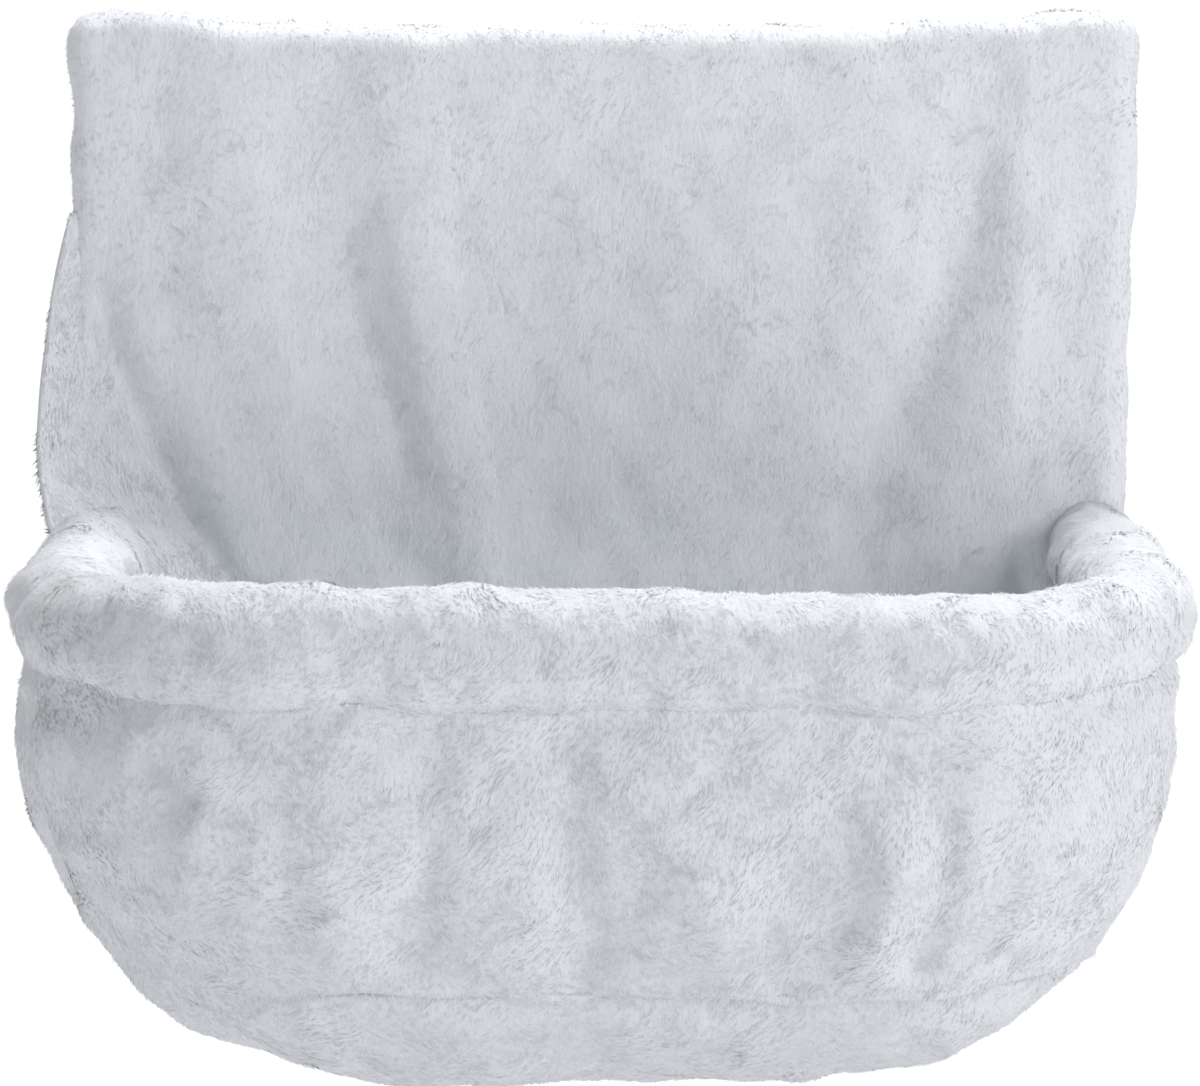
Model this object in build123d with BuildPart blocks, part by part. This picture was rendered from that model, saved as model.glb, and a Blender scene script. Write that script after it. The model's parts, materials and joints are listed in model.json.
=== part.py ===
from build123d import *
from math import sqrt
import os

# Cat hammock that hangs on a radiator: a steel frame in a plush cover.
# The bed's front faces -Y and +Z is up. The origin is the middle of the
# radiator's top front edge: pads rest on Z = 0 and bumpers press on Y = 0.

# Driving sizes of the frame
upright_spacing = 404.0
frame_setback = 22.0
top_bar_height = 38.0
bottom_bar_depth = 282.0
hoop_depth = 166.0
hoop_reach = 244.0
hoop_corner_radius = 85.0

# Tubes
tube_radius = 6.0
tube_bore_radius = 5.0
hoop_radius = 5.0
hoop_bore_radius = 4.0

# Fits and overruns
fit_gap = 0.05
running_gap = 0.3
slide_gap = 0.1
overrun = 5.0

# Moulded elbows
elbow_wall = 3.5
elbow_swell = 1.5
elbow_arm_length = 24.0
elbow_seat = 8.0

# Stub tubes that take the hoop's ends
socket_radius = 6.5
socket_length = 42.0
socket_floor = 2.0

# Snap buttons and their leaf springs
button_radius = 2.5
button_hole_gap = 0.2
button_stand = 1.7
button_setback = 20.0
button_flange_radius = 3.0
button_flange_height = 1.0
button_dome = 1.2
spring_thickness = 0.4
spring_width = 3.0
spring_length = 20.0
spring_tail = 3.0
spring_bend_radius = 1.2
spring_slope = 0.8

# Hook brackets
strip_width = 20.0
strip_thickness = 2.5
strip_bend_radius = 4.0
pad_thickness = 6.0
bracket_reach = 56.0
bracket_drop = 50.0
stud_setback = 47.0

# Bolts that hold the brackets
bolt_radius = 2.5
bolt_hole_gap = 0.25
bolt_head_radius = 4.5
bolt_head_height = 2.0
bolt_top_drop = 12.0
bolt_pitch = 26.0
nut_width = 8.0
nut_sides = 6
nut_height = 4.0
bolt_tip = 0.6

# Sliding hook arms, with the radiator's thickness that they suit at rest
radiator_thickness = 85.0
arm_travel_in = 20.0
arm_travel_out = 25.0
arm_end_margin = 5.0
lip_depth = 40.0
lip_sleeve_wall = 1.5
lip_sleeve_length = 34.0

# Clamp of each arm
stud_radius = 3.0
stud_gap = 0.3
stud_foot = 1.5
stud_in_knob = 9.0
clamp_nut_width = 10.0
clamp_nut_height = 3.2
nut_pocket_radius = 7.0
washer_radius = 9.0
washer_thickness = 1.2
knob_radius = 9.5
knob_height = 13.0
knob_lobe_count = 6
knob_lobe_radius = 3.4
knob_round = 1.5

# Pads on the radiator's top
pad_width = 23.0
pad_front = 2.0
pad_length = 53.0
pad_round = 3.0

# Rubber bumpers and their screws
bumper_radius = 14.0
bumper_round = 1.5
screw_radius = 2.0
screw_head_radius = 4.0
screw_head_height = 2.4
screw_head_sink = 1.6
screw_depth = 9.0

# Back cover, with how far it stands past the frame's centre lines
side_cover = 16.0
top_cover = 17.0
bottom_cover = 15.0
front_cover = 19.0
panel_dip = 6.5
panel_bump_width = 48.0
panel_bump_slope = 26.0
panel_bump_radius = 30.0
elbow_pocket_gap = 1.0
panel_corner_radius = 16.0
panel_edge_radius = 7.0
panel_edge_flat = 42.0
panel_bottom_wall = 3.5
fold_height = 6.5
fold_depth = 3.4
liner_thickness = 2.0
liner_inset = 2.0
liner_slot_gap = 1.5

# Closure at the cover's bottom edge
closure_end_gap = 13.0
strip_tape_thickness = 1.0
strip_tape_width = 18.0
tape_inset = 4.0
flap_thickness = 2.0
flap_height = 27.0
flap_bend_radius = 1.5

# Rim
rim_radius = 22.0
rim_cloth = 6.0
rim_foam_start = 3.0

# Side gussets
gusset_height = 108.0
gusset_reach = 58.0
gusset_thickness = 6.0
gusset_inset = 5.0
gusset_slack = 12.0

# Bowl
bowl_side_cover = 17.0
bowl_front_cover = 18.0
bowl_corner_radius = 100.0
wall_tuck = 27.0
floor_sag = 55.0
floor_half_width = 52.0
floor_middle = 150.0
wall_cloth = 6.0
wall_fold = 3.5
lining_cloth = 4.0
floor_cloth = 6.0
wadding_thickness = 8.0
floor_lining_cloth = 4.0

# Places that follow from the driving sizes
half_span = upright_spacing / 2
frame_y = -frame_setback
tube_rear_y = frame_y + tube_radius
tube_front_y = frame_y - tube_radius
bar_levels = {"top": top_bar_height, "bottom": -bottom_bar_depth}
hoop_z = -hoop_depth
hoop_front_y = frame_y - hoop_reach
elbow_arm_radius = tube_radius + elbow_wall
elbow_ball_radius = elbow_arm_radius + elbow_swell
socket_end_y = tube_front_y - socket_length
hoop_start_y = tube_front_y - socket_floor - slide_gap
button_y = tube_front_y - button_setback
button_flange_seat = sqrt(hoop_bore_radius**2 - button_flange_radius**2) - slide_gap
bracket_top_z = pad_thickness + strip_thickness
arm_bottom_z = bracket_top_z + slide_gap
arm_top_z = arm_bottom_z + strip_thickness
washer_z = arm_top_z + slide_gap
knob_z = washer_z + washer_thickness + slide_gap
bolt_levels = (-bolt_top_drop, -bolt_top_drop - bolt_pitch)
bracket_rear_y = tube_rear_y + strip_thickness
panel_half_width = half_span + side_cover
panel_top = top_bar_height + top_cover
panel_bottom = bottom_bar_depth + bottom_cover
panel_front = frame_setback + front_cover
closure_half_width = half_span - bumper_radius - closure_end_gap
cover_front_y = -panel_front
cover_inner_y = frame_y - elbow_ball_radius - running_gap
cover_side_x = half_span + elbow_ball_radius + running_gap
cover_top_inner_z = top_bar_height + elbow_ball_radius + running_gap
liner_front_y = frame_y + elbow_ball_radius + running_gap
liner_rear_y = liner_front_y + liner_thickness
rim_start_y = cover_front_y - running_gap
tunnel_radius = rim_radius + running_gap
seam_z = -panel_bottom
bowl_half_width = half_span + bowl_side_cover
bowl_front = frame_setback + hoop_reach + bowl_front_cover
floor_depth = panel_bottom + floor_sag

hands = ((-1, "left"), (1, "right"))

# Fold lines of the back panel, each row a level, as shares of the width that folds
fold_level_shares = (0.0, 0.3, 0.58, 0.8, 1.0)
fold_line_shares = (
    (-1.0, -0.76, -0.58, -0.34, 0.0, 0.80, 0.93, 1.0),
    (-1.0, -0.70, -0.51, -0.32, 0.02, 0.72, 0.90, 1.0),
    (-1.0, -0.56, -0.37, -0.22, 0.04, 0.52, 0.69, 1.0),
    (-1.0, -0.50, -0.33, -0.19, 0.05, 0.46, 0.63, 1.0),
    (-1.0, -0.50, -0.33, -0.19, 0.05, 0.46, 0.63, 1.0),
)
fold_bulge_shares = (
    (0.2, -0.4, 0.3, -0.3, 0.2, -0.4, 0.1),
    (0.6, -1.0, 0.7, -0.7, 0.5, -1.0, 0.3),
    (0.7, -1.0, 0.6, -0.6, 0.6, -1.0, 0.6),
    (0.4, -0.6, 0.4, -0.4, 0.4, -0.6, 0.4),
    (0.1, -0.1, 0.1, -0.1, 0.1, -0.1, 0.1),
)

# Bowl wall from the hoop down to its seam, then the floor below the seam
wall_level_shares = (0.0, 0.35, 0.6, 0.8, 1.0)
wall_tuck_shares = (0.0, 0.0, 0.14, 0.48, 1.0)
wall_front_shares = (0.18, 0.0, 0.08, 0.42, 0.95)
wall_line_shares = (
    (-1.0, -0.66, -0.42, -0.20, 0.02, 0.30, 0.66, 1.0),
    (-1.0, -0.66, -0.42, -0.20, 0.02, 0.36, 0.70, 1.0),
    (-1.0, -0.70, -0.47, -0.21, 0.03, 0.50, 0.77, 1.0),
    (-1.0, -0.77, -0.55, -0.23, 0.06, 0.68, 0.85, 1.0),
    (-1.0, -0.80, -0.57, -0.24, 0.07, 0.70, 0.87, 1.0),
)
wall_bulge_shares = (
    (0.1, -0.1, 0.1, -0.1, 0.1, -0.1, 0.1),
    (0.6, -0.6, 0.4, -0.8, 0.8, -0.4, 0.7),
    (0.8, -0.8, 0.5, -1.0, 1.0, -0.5, 0.9),
    (0.6, -0.6, 0.4, -0.8, 0.9, -0.4, 0.6),
    (0.1, -0.1, 0.1, -0.1, 0.1, -0.1, 0.1),
)
floor_level_shares = (0.0, 0.3, 0.58, 0.8, 0.94, 1.0)
floor_spread_shares = (1.0, 0.92, 0.78, 0.54, 0.26, 0.0)


def save(piece, name):
    """Labels a finished piece and writes it as a STEP file."""
    piece.part.label = name
    export_step(piece.part, f"parts/{name}.step")


def ring(outer, inner):
    """Ring between two radii, in the open sketch."""
    Circle(outer)
    Circle(inner, mode=Mode.SUBTRACT)


def hoop_path(start_y):
    """Centre line of the hoop from one rear end to the other."""
    with BuildLine(Plane.XY.offset(hoop_z)) as path:
        FilletPolyline(
            (-half_span, start_y),
            (-half_span, hoop_front_y),
            (half_span, hoop_front_y),
            (half_span, start_y),
            radius=hoop_corner_radius,
        )
    return path.line


def hoop_bar(radius, start_y):
    """Solid round bar along the hoop, back to start_y."""
    with BuildPart() as bar:
        with BuildSketch(Plane.XZ.offset(-start_y)):
            with Locations((-half_span, hoop_z)):
                Circle(radius)
        sweep(path=hoop_path(start_y))
    return bar.part


def d_outline(level_z, half_width, front_y, back_y, corner):
    """Flat D with two rounded front corners, as a section for a loft."""
    with BuildSketch(Plane.XY.offset(level_z)) as outline:
        with BuildLine():
            FilletPolyline(
                (-half_width, back_y),
                (-half_width, front_y),
                (half_width, front_y),
                (half_width, back_y),
                radius=corner,
            )
            Line((half_width, back_y), (-half_width, back_y))
        make_face()
    return outline.sketch


def folds_across(half, front_y, height, depth, lines, bulges):
    """Soft folds side by side along a front, each an arc from one line to the next."""
    for start, end, bulge in zip(lines, lines[1:], bulges):
        reach = height if bulge > 0 else depth
        middle = ((start + end) / 2 * half, front_y - reach * bulge)
        ThreePointArc((start * half, front_y), middle, (end * half, front_y))


def folded_outline(level_z, half_width, front_y, back_y, corner, lines, bulges):
    """The same D, with soft folds along its front between the corners."""
    turn_x = half_width - corner
    turn_y = front_y + corner
    with BuildSketch(Plane.XY.offset(level_z)) as outline:
        with BuildLine():
            Line((-half_width, back_y), (-half_width, turn_y))
            RadiusArc((-half_width, turn_y), (-turn_x, front_y), -corner)
            folds_across(turn_x, front_y, wall_fold, wall_fold, lines, bulges)
            RadiusArc((turn_x, front_y), (half_width, turn_y), -corner)
            Line((half_width, turn_y), (half_width, back_y))
            Line((half_width, back_y), (-half_width, back_y))
        make_face()
    return outline.sketch


def wall_block(inset, back_y):
    """The bowl's wall as a full block, drawn in by inset."""
    height = panel_bottom - hoop_depth
    sections = [
        folded_outline(
            hoop_z - height * level,
            bowl_half_width - wall_tuck * tuck - inset,
            -bowl_front + wall_tuck * front + inset,
            back_y,
            bowl_corner_radius - inset,
            lines,
            bulges,
        )
        for level, tuck, front, lines, bulges in zip(
            wall_level_shares, wall_tuck_shares, wall_front_shares, wall_line_shares, wall_bulge_shares
        )
    ]
    with BuildPart() as block:
        loft(sections)
    return block.part


def floor_block(inset):
    """The sagging floor as a full dome, drawn in and raised by inset."""
    top_half = bowl_half_width - wall_tuck - inset
    top_front = bowl_front - wall_tuck * wall_front_shares[-1] - inset
    top_back = panel_front + running_gap + inset
    low_half = floor_half_width - inset
    low_front = floor_middle + low_half / 2
    low_back = floor_middle - low_half / 2
    top_z = seam_z - running_gap
    drop = floor_depth - panel_bottom - inset
    sections = []
    for level, spread in zip(floor_level_shares, floor_spread_shares):
        front = low_front + (top_front - low_front) * spread
        back = low_back + (top_back - low_back) * spread
        half = low_half + (top_half - low_half) * spread
        corner = min(bowl_corner_radius - inset, (front - back) / 2)
        sections.append(d_outline(top_z - drop * level, half, -front, -back, corner))
    with BuildPart() as block:
        loft(sections)
    return block.part


def floor_layer(inset, thickness):
    """One layer of the floor: a dish between two domes, cut level at the seam."""
    with BuildPart() as layer:
        add(floor_block(inset))
        add(floor_block(inset + thickness), mode=Mode.SUBTRACT)
    return layer


def cover_outline(inset, plane):
    """Outline of the back cover, with a bump at each top corner."""
    side_x = panel_half_width - inset
    bump_end_x = panel_half_width - panel_bump_width
    dip_x = bump_end_x - panel_bump_slope
    top_z = panel_top - inset
    bottom_z = inset - panel_bottom
    corner = panel_corner_radius - inset
    radii = (panel_bump_radius, panel_bump_radius, corner, corner)
    with BuildSketch(plane) as outline:
        with BuildLine():
            FilletPolyline(
                (-side_x, bottom_z),
                (-side_x, top_z),
                (-bump_end_x, top_z),
                (-dip_x, top_z - panel_dip),
                (dip_x, top_z - panel_dip),
                (bump_end_x, top_z),
                (side_x, top_z),
                (side_x, bottom_z),
                radius=(*radii[::-1], *radii),
                close=True,
            )
        make_face()
    return outline.sketch


def fold_section(level_z, lines, bulges):
    """Section of the back panel: flat back, rounded edges and a folded front."""
    fold_half = panel_half_width - panel_edge_flat
    side = panel_half_width
    rear_y = liner_front_y - running_gap
    turn_y = cover_front_y + panel_edge_radius
    turn_x = side - panel_edge_radius
    with BuildSketch(Plane.XY.offset(level_z)) as section:
        with BuildLine():
            Line((-side, rear_y), (-side, turn_y))
            RadiusArc((-side, turn_y), (-turn_x, cover_front_y), -panel_edge_radius)
            Line((-turn_x, cover_front_y), (-fold_half, cover_front_y))
            folds_across(fold_half, cover_front_y, fold_height, fold_depth, lines, bulges)
            Line((fold_half, cover_front_y), (turn_x, cover_front_y))
            RadiusArc((turn_x, cover_front_y), (side, turn_y), -panel_edge_radius)
            Line((side, turn_y), (side, rear_y))
            Line((side, rear_y), (-side, rear_y))
        make_face()
    return section.sketch


os.makedirs("parts", exist_ok=True)

# Uprights, with a pair of bolt holes for each hook bracket
for side, hand in hands:
    with BuildPart() as upright:
        with BuildSketch(Plane.XY.offset(-bottom_bar_depth + elbow_seat)):
            with Locations((side * half_span, frame_y)):
                ring(tube_radius, tube_bore_radius)
        extrude(amount=top_bar_height + bottom_bar_depth - elbow_seat * 2)
        with BuildSketch(Plane.XZ.offset(-frame_y)):
            with Locations([(side * half_span, level) for level in bolt_levels]):
                Circle(bolt_radius + bolt_hole_gap)
        extrude(amount=tube_radius + overrun, both=True, mode=Mode.SUBTRACT)
    save(upright, f"upright_{hand}")

# Top and bottom crossbars
for place, bar_z in bar_levels.items():
    with BuildPart() as crossbar:
        with BuildSketch(Plane.YZ):
            with Locations((frame_y, bar_z)):
                ring(tube_radius, tube_bore_radius)
        extrude(amount=half_span - elbow_seat, both=True)
    save(crossbar, f"{place}_crossbar")

# Moulded elbows: a ball with an arm along each tube
for place, bar_z in bar_levels.items():
    inward = -1 if place == "top" else 1
    for side, hand in hands:
        corner = (side * half_span, frame_y, bar_z)
        arms = (Plane(origin=corner, z_dir=(-side, 0, 0)), Plane(origin=corner, z_dir=(0, 0, inward)))
        with BuildPart() as elbow:
            with Locations(corner):
                Sphere(elbow_ball_radius)
            for arm in arms:
                with BuildSketch(arm):
                    Circle(elbow_arm_radius)
                extrude(amount=elbow_arm_length)
            for arm in arms:
                with BuildSketch(arm.offset(elbow_seat)):
                    Circle(tube_radius + fit_gap)
                extrude(amount=elbow_arm_length, mode=Mode.SUBTRACT)
            if place == "bottom":
                with BuildSketch(Plane.XZ.offset(-frame_y - elbow_ball_radius)):
                    with Locations((side * half_span, bar_z)):
                        Circle(screw_radius + fit_gap)
                extrude(amount=screw_depth, mode=Mode.SUBTRACT)
        save(elbow, f"elbow_{place}_{hand}")

# Stub tubes welded to the uprights, coped to fit round them
for side, hand in hands:
    with BuildPart() as socket:
        with BuildSketch(Plane.XZ.offset(-frame_y)):
            with Locations((side * half_span, hoop_z)):
                Circle(socket_radius)
        extrude(amount=tube_radius + socket_length)
        with BuildSketch(Plane.XZ.offset(-tube_front_y + socket_floor)):
            with Locations((side * half_span, hoop_z)):
                Circle(hoop_radius + fit_gap)
        extrude(amount=socket_length, mode=Mode.SUBTRACT)
        with BuildSketch(Plane.XY.offset(hoop_z)):
            with Locations((side * half_span, frame_y)):
                Circle(tube_radius)
        extrude(amount=socket_radius + overrun, both=True, mode=Mode.SUBTRACT)
        with BuildSketch(Plane(origin=(side * half_span, button_y, hoop_z), z_dir=(side, 0, 0))):
            Circle(button_radius + button_hole_gap)
        extrude(amount=socket_radius + overrun, mode=Mode.SUBTRACT)
    save(socket, f"hoop_socket_{hand}")

# Bent front hoop, with a hole for a snap button near each end
with BuildPart() as front_hoop:
    with BuildSketch(Plane.XZ.offset(-hoop_start_y)):
        with Locations((-half_span, hoop_z)):
            ring(hoop_radius, hoop_bore_radius)
    sweep(path=hoop_path(hoop_start_y))
    for side, hand in hands:
        with BuildSketch(Plane(origin=(side * half_span, button_y, hoop_z), z_dir=(side, 0, 0))):
            Circle(button_radius + button_hole_gap)
        extrude(amount=hoop_radius + overrun, mode=Mode.SUBTRACT)
save(front_hoop, "front_hoop")

# Snap buttons: a domed pin on a flange that stays inside the hoop
for side, hand in hands:
    axis = Plane(origin=(side * half_span, button_y, hoop_z), z_dir=(side, 0, 0))
    with BuildPart() as button:
        with BuildSketch(axis.offset(button_flange_seat - button_flange_height)):
            Circle(button_flange_radius)
        extrude(amount=button_flange_height)
        with BuildSketch(axis.offset(button_flange_seat)):
            Circle(button_radius)
        extrude(amount=socket_radius + button_stand - button_flange_seat)
        fillet(button.faces().sort_by(Axis.X)[-1 if side > 0 else 0].edges(), button_dome)
    save(button, f"snap_button_{hand}")

# Leaf springs folded into a V behind the buttons
for side, hand in hands:
    spring_top = button_flange_seat - button_flange_height - spring_thickness / 2 - slide_gap
    spring_low = sqrt(hoop_bore_radius**2 - (spring_width / 2) ** 2) - spring_thickness / 2 - slide_gap
    x_top = side * (half_span + spring_top)
    x_low = side * (half_span - spring_low)
    bend_y = button_y - spring_length
    with BuildPart() as spring:
        with BuildSketch(Plane.XY.offset(hoop_z)):
            with BuildLine():
                FilletPolyline(
                    (x_top, button_y + spring_tail),
                    (x_top - side * spring_slope, bend_y),
                    (x_low, bend_y),
                    (x_low, button_y + spring_tail),
                    radius=spring_bend_radius,
                )
            trace(line_width=spring_thickness)
        extrude(amount=spring_width / 2, both=True)
    save(spring, f"button_spring_{hand}")

# Hook brackets: strips that run up behind the uprights and back over the radiator
for side, hand in hands:
    leg_y = tube_rear_y + strip_thickness / 2
    shelf_z = pad_thickness + strip_thickness / 2
    with BuildPart() as bracket:
        with BuildSketch(Plane.YZ.offset(side * half_span)):
            with BuildLine():
                FilletPolyline(
                    (leg_y, -bracket_drop),
                    (leg_y, shelf_z),
                    (bracket_reach, shelf_z),
                    radius=strip_bend_radius,
                )
            trace(line_width=strip_thickness)
        extrude(amount=strip_width / 2, both=True)
        with BuildSketch(Plane.XZ.offset(-tube_rear_y)):
            with Locations([(side * half_span, level) for level in bolt_levels]):
                Circle(bolt_radius + bolt_hole_gap)
        extrude(amount=strip_thickness + overrun, both=True, mode=Mode.SUBTRACT)
        with BuildSketch(Plane.XY.offset(shelf_z)):
            with Locations((side * half_span, stud_setback)):
                Circle(stud_radius + stud_gap)
        extrude(amount=strip_thickness, both=True, mode=Mode.SUBTRACT)
    save(bracket, f"hook_bracket_{hand}")

# Bolts through bracket and upright, and the nuts in front of the tube
bolt_places = [(side * half_span, level) for side, hand in hands for level in bolt_levels]
with BuildPart() as bracket_bolts:
    with BuildSketch(Plane.XZ.offset(-bracket_rear_y - bolt_head_height)):
        with Locations(bolt_places):
            Circle(bolt_head_radius)
    extrude(amount=bolt_head_height)
    with BuildSketch(Plane.XZ.offset(-bracket_rear_y)):
        with Locations(bolt_places):
            Circle(bolt_radius)
    extrude(amount=bracket_rear_y - tube_front_y + nut_height + bolt_tip)
save(bracket_bolts, "bracket_bolts")

with BuildPart() as bracket_nuts:
    with BuildSketch(Plane.XZ.offset(-tube_front_y)):
        with Locations(bolt_places):
            RegularPolygon(nut_width / 2, nut_sides, major_radius=False)
            Circle(bolt_radius + fit_gap, mode=Mode.SUBTRACT)
    extrude(amount=nut_height)
save(bracket_nuts, "bracket_nuts")

# Sliding hook arms: slotted strips turned down behind the radiator
slot_front_y = stud_setback - arm_travel_out - stud_radius - stud_gap
slot_rear_y = stud_setback + arm_travel_in + stud_radius + stud_gap
arm_middle_z = arm_bottom_z + strip_thickness / 2
lip_y = radiator_thickness + strip_thickness / 2
for side, hand in hands:
    with BuildPart() as arm:
        with BuildSketch(Plane.YZ.offset(side * half_span)):
            with BuildLine():
                FilletPolyline(
                    (slot_front_y - arm_end_margin, arm_middle_z),
                    (lip_y, arm_middle_z),
                    (lip_y, -lip_depth),
                    radius=strip_bend_radius,
                )
            trace(line_width=strip_thickness)
        extrude(amount=strip_width / 2, both=True)
        with BuildSketch(Plane.XY.offset(arm_middle_z)):
            with Locations((side * half_span, (slot_front_y + slot_rear_y) / 2)):
                SlotOverall(slot_rear_y - slot_front_y, (stud_radius + stud_gap) * 2, rotation=90)
        extrude(amount=strip_thickness, both=True, mode=Mode.SUBTRACT)
    save(arm, f"hook_arm_{hand}")

# Soft sleeves over the arms' turned-down ends
sleeve_bottom_z = -lip_depth - lip_sleeve_wall
for side, hand in hands:
    with BuildPart() as sleeve:
        with BuildSketch(Plane.XY.offset(sleeve_bottom_z)):
            with Locations((side * half_span, lip_y)):
                RectangleRounded(
                    strip_width + lip_sleeve_wall * 2,
                    strip_thickness + lip_sleeve_wall * 2,
                    lip_sleeve_wall,
                )
        extrude(amount=lip_sleeve_length)
        with BuildSketch(Plane.XY.offset(-lip_depth - fit_gap)):
            with Locations((side * half_span, lip_y)):
                Rectangle(strip_width + fit_gap * 2, strip_thickness + fit_gap * 2)
        extrude(amount=lip_sleeve_length, mode=Mode.SUBTRACT)
    save(sleeve, f"hook_sleeve_{hand}")

# Clamps: nut below the bracket, stud up through the slot, washer and knob on top
for side, hand in hands:
    at = (side * half_span, stud_setback)
    with BuildPart() as clamp_nut:
        with BuildSketch(Plane.XY.offset(pad_thickness - clamp_nut_height)):
            with Locations(at):
                RegularPolygon(clamp_nut_width / 2, nut_sides, major_radius=False)
                Circle(stud_radius + fit_gap, mode=Mode.SUBTRACT)
        extrude(amount=clamp_nut_height)
    save(clamp_nut, f"clamp_nut_{hand}")

    with BuildPart() as clamp_washer:
        with BuildSketch(Plane.XY.offset(washer_z)):
            with Locations(at):
                ring(washer_radius, stud_radius + stud_gap)
        extrude(amount=washer_thickness)
    save(clamp_washer, f"clamp_washer_{hand}")

    with BuildPart() as clamp_stud:
        with BuildSketch(Plane.XY.offset(stud_foot)):
            with Locations(at):
                Circle(stud_radius)
        extrude(amount=knob_z + stud_in_knob - stud_foot)
    save(clamp_stud, f"clamp_stud_{hand}")

    with BuildPart() as clamp_knob:
        with BuildSketch(Plane.XY.offset(knob_z)):
            with Locations(at):
                Circle(knob_radius)
                with PolarLocations(knob_radius, knob_lobe_count):
                    Circle(knob_lobe_radius)
        extrude(amount=knob_height)
        fillet(clamp_knob.faces().sort_by(Axis.Z)[-1].edges(), knob_round)
        with BuildSketch(Plane.XY.offset(knob_z)):
            with Locations(at):
                Circle(stud_radius + fit_gap)
        extrude(amount=stud_in_knob + fit_gap, mode=Mode.SUBTRACT)
    save(clamp_knob, f"clamp_knob_{hand}")

# Foam pads between brackets and radiator, each with a pocket for the clamp's nut
for side, hand in hands:
    with BuildPart() as pad:
        with BuildSketch(Plane.XY):
            with Locations((side * half_span, pad_front + pad_length / 2)):
                RectangleRounded(pad_width, pad_length, pad_round)
        extrude(amount=pad_thickness)
        with BuildSketch(Plane.XY.offset(pad_thickness - clamp_nut_height - running_gap)):
            with Locations((side * half_span, stud_setback)):
                Circle(nut_pocket_radius)
        extrude(amount=pad_thickness, mode=Mode.SUBTRACT)
        with BuildSketch(Plane.XY):
            with Locations((side * half_span, stud_setback)):
                Circle(stud_radius + stud_gap)
        extrude(amount=pad_thickness, mode=Mode.SUBTRACT)
    save(pad, f"seat_pad_{hand}")

# Rubber bumpers behind the bottom elbows, and the screws sunk in them
screw_seat_y = -screw_head_sink - screw_head_height
for side, hand in hands:
    with BuildPart() as bumper:
        with BuildSketch(Plane.XZ):
            with Locations((side * half_span, -bottom_bar_depth)):
                Circle(bumper_radius)
        extrude(amount=-liner_rear_y)
        fillet(bumper.faces().sort_by(Axis.Y)[-1].edges(), bumper_round)
        with BuildSketch(Plane.XZ):
            with Locations((side * half_span, -bottom_bar_depth)):
                Circle(screw_head_radius + running_gap)
        extrude(amount=-screw_seat_y, mode=Mode.SUBTRACT)
        with BuildSketch(Plane.XZ):
            with Locations((side * half_span, -bottom_bar_depth)):
                Circle(screw_radius + fit_gap)
        extrude(amount=-liner_rear_y, mode=Mode.SUBTRACT)
    save(bumper, f"bumper_{hand}")

screw_places = [(side * half_span, -bottom_bar_depth) for side, hand in hands]
screw_tip_y = frame_y + elbow_ball_radius - screw_depth + running_gap
with BuildPart() as bumper_screws:
    with BuildSketch(Plane.XZ.offset(screw_head_sink)):
        with Locations(screw_places):
            Circle(screw_head_radius)
    extrude(amount=screw_head_height)
    with BuildSketch(Plane.XZ.offset(-screw_seat_y)):
        with Locations(screw_places):
            Circle(screw_radius)
    extrude(amount=screw_seat_y - screw_tip_y)
save(bumper_screws, "bumper_screws")

# Back panel: plush front with soft upright folds, turned back round the frame
panel_height = panel_top + panel_bottom
cavity_bottom_z = panel_bottom_wall - panel_bottom
cavity_top_z = top_bar_height + tube_radius + running_gap
pocket_width = elbow_arm_length + elbow_ball_radius + elbow_pocket_gap
pocket_height = elbow_ball_radius * 2
pocket_x = cover_side_x - pocket_width / 2
with BuildPart() as back_panel:
    loft(
        [
            fold_section(panel_top - panel_height * level, lines, bulges)
            for level, lines, bulges in zip(fold_level_shares, fold_line_shares, fold_bulge_shares)
        ]
    )
    extrude(
        cover_outline(-fit_gap, Plane.XZ),
        amount=panel_front + fold_height + overrun,
        mode=Mode.INTERSECT,
    )
    with BuildSketch(Plane.XZ):
        with Locations((0, (cavity_top_z + cavity_bottom_z) / 2)):
            RectangleRounded(cover_side_x * 2, cavity_top_z - cavity_bottom_z, elbow_ball_radius)
        with Locations([(side * pocket_x, cover_top_inner_z - pocket_height / 2) for side, hand in hands]):
            Rectangle(pocket_width, pocket_height)
    extrude(amount=-cover_inner_y, mode=Mode.SUBTRACT)
    with BuildSketch(Plane.XZ.offset(-cover_inner_y)):
        with Locations([(side * half_span, hoop_z) for side, hand in hands]):
            Circle(socket_radius + running_gap)
    extrude(amount=panel_front, mode=Mode.SUBTRACT)
save(back_panel, "back_panel")

# Rear liner, with slots for the hook brackets and holes for the bumper screws
slot_height = strip_thickness + liner_slot_gap * 2
with BuildPart() as rear_liner:
    extrude(cover_outline(liner_inset, Plane.XZ.offset(-liner_rear_y)), amount=liner_thickness)
    with BuildSketch(Plane.XZ.offset(-liner_rear_y)):
        with Locations([(side * half_span, bracket_top_z - strip_thickness / 2) for side, hand in hands]):
            Rectangle(strip_width + liner_slot_gap * 2, slot_height)
        with Locations(screw_places):
            Circle(screw_radius + running_gap)
    extrude(amount=liner_thickness, mode=Mode.SUBTRACT)
save(rear_liner, "rear_liner")

# Hook-and-loop tapes and the flap that closes the cover below
tape_middle_z = liner_inset + tape_inset + strip_tape_width / 2 - panel_bottom
for name, rear_y in (
    ("closure_hook_strip", liner_rear_y + strip_tape_thickness),
    ("closure_loop_strip", liner_rear_y + strip_tape_thickness * 2),
):
    with BuildPart() as tape:
        with BuildSketch(Plane.XZ.offset(-rear_y)):
            with Locations((0, tape_middle_z)):
                Rectangle((closure_half_width - tape_inset) * 2, strip_tape_width)
        extrude(amount=strip_tape_thickness)
    save(tape, name)

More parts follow.
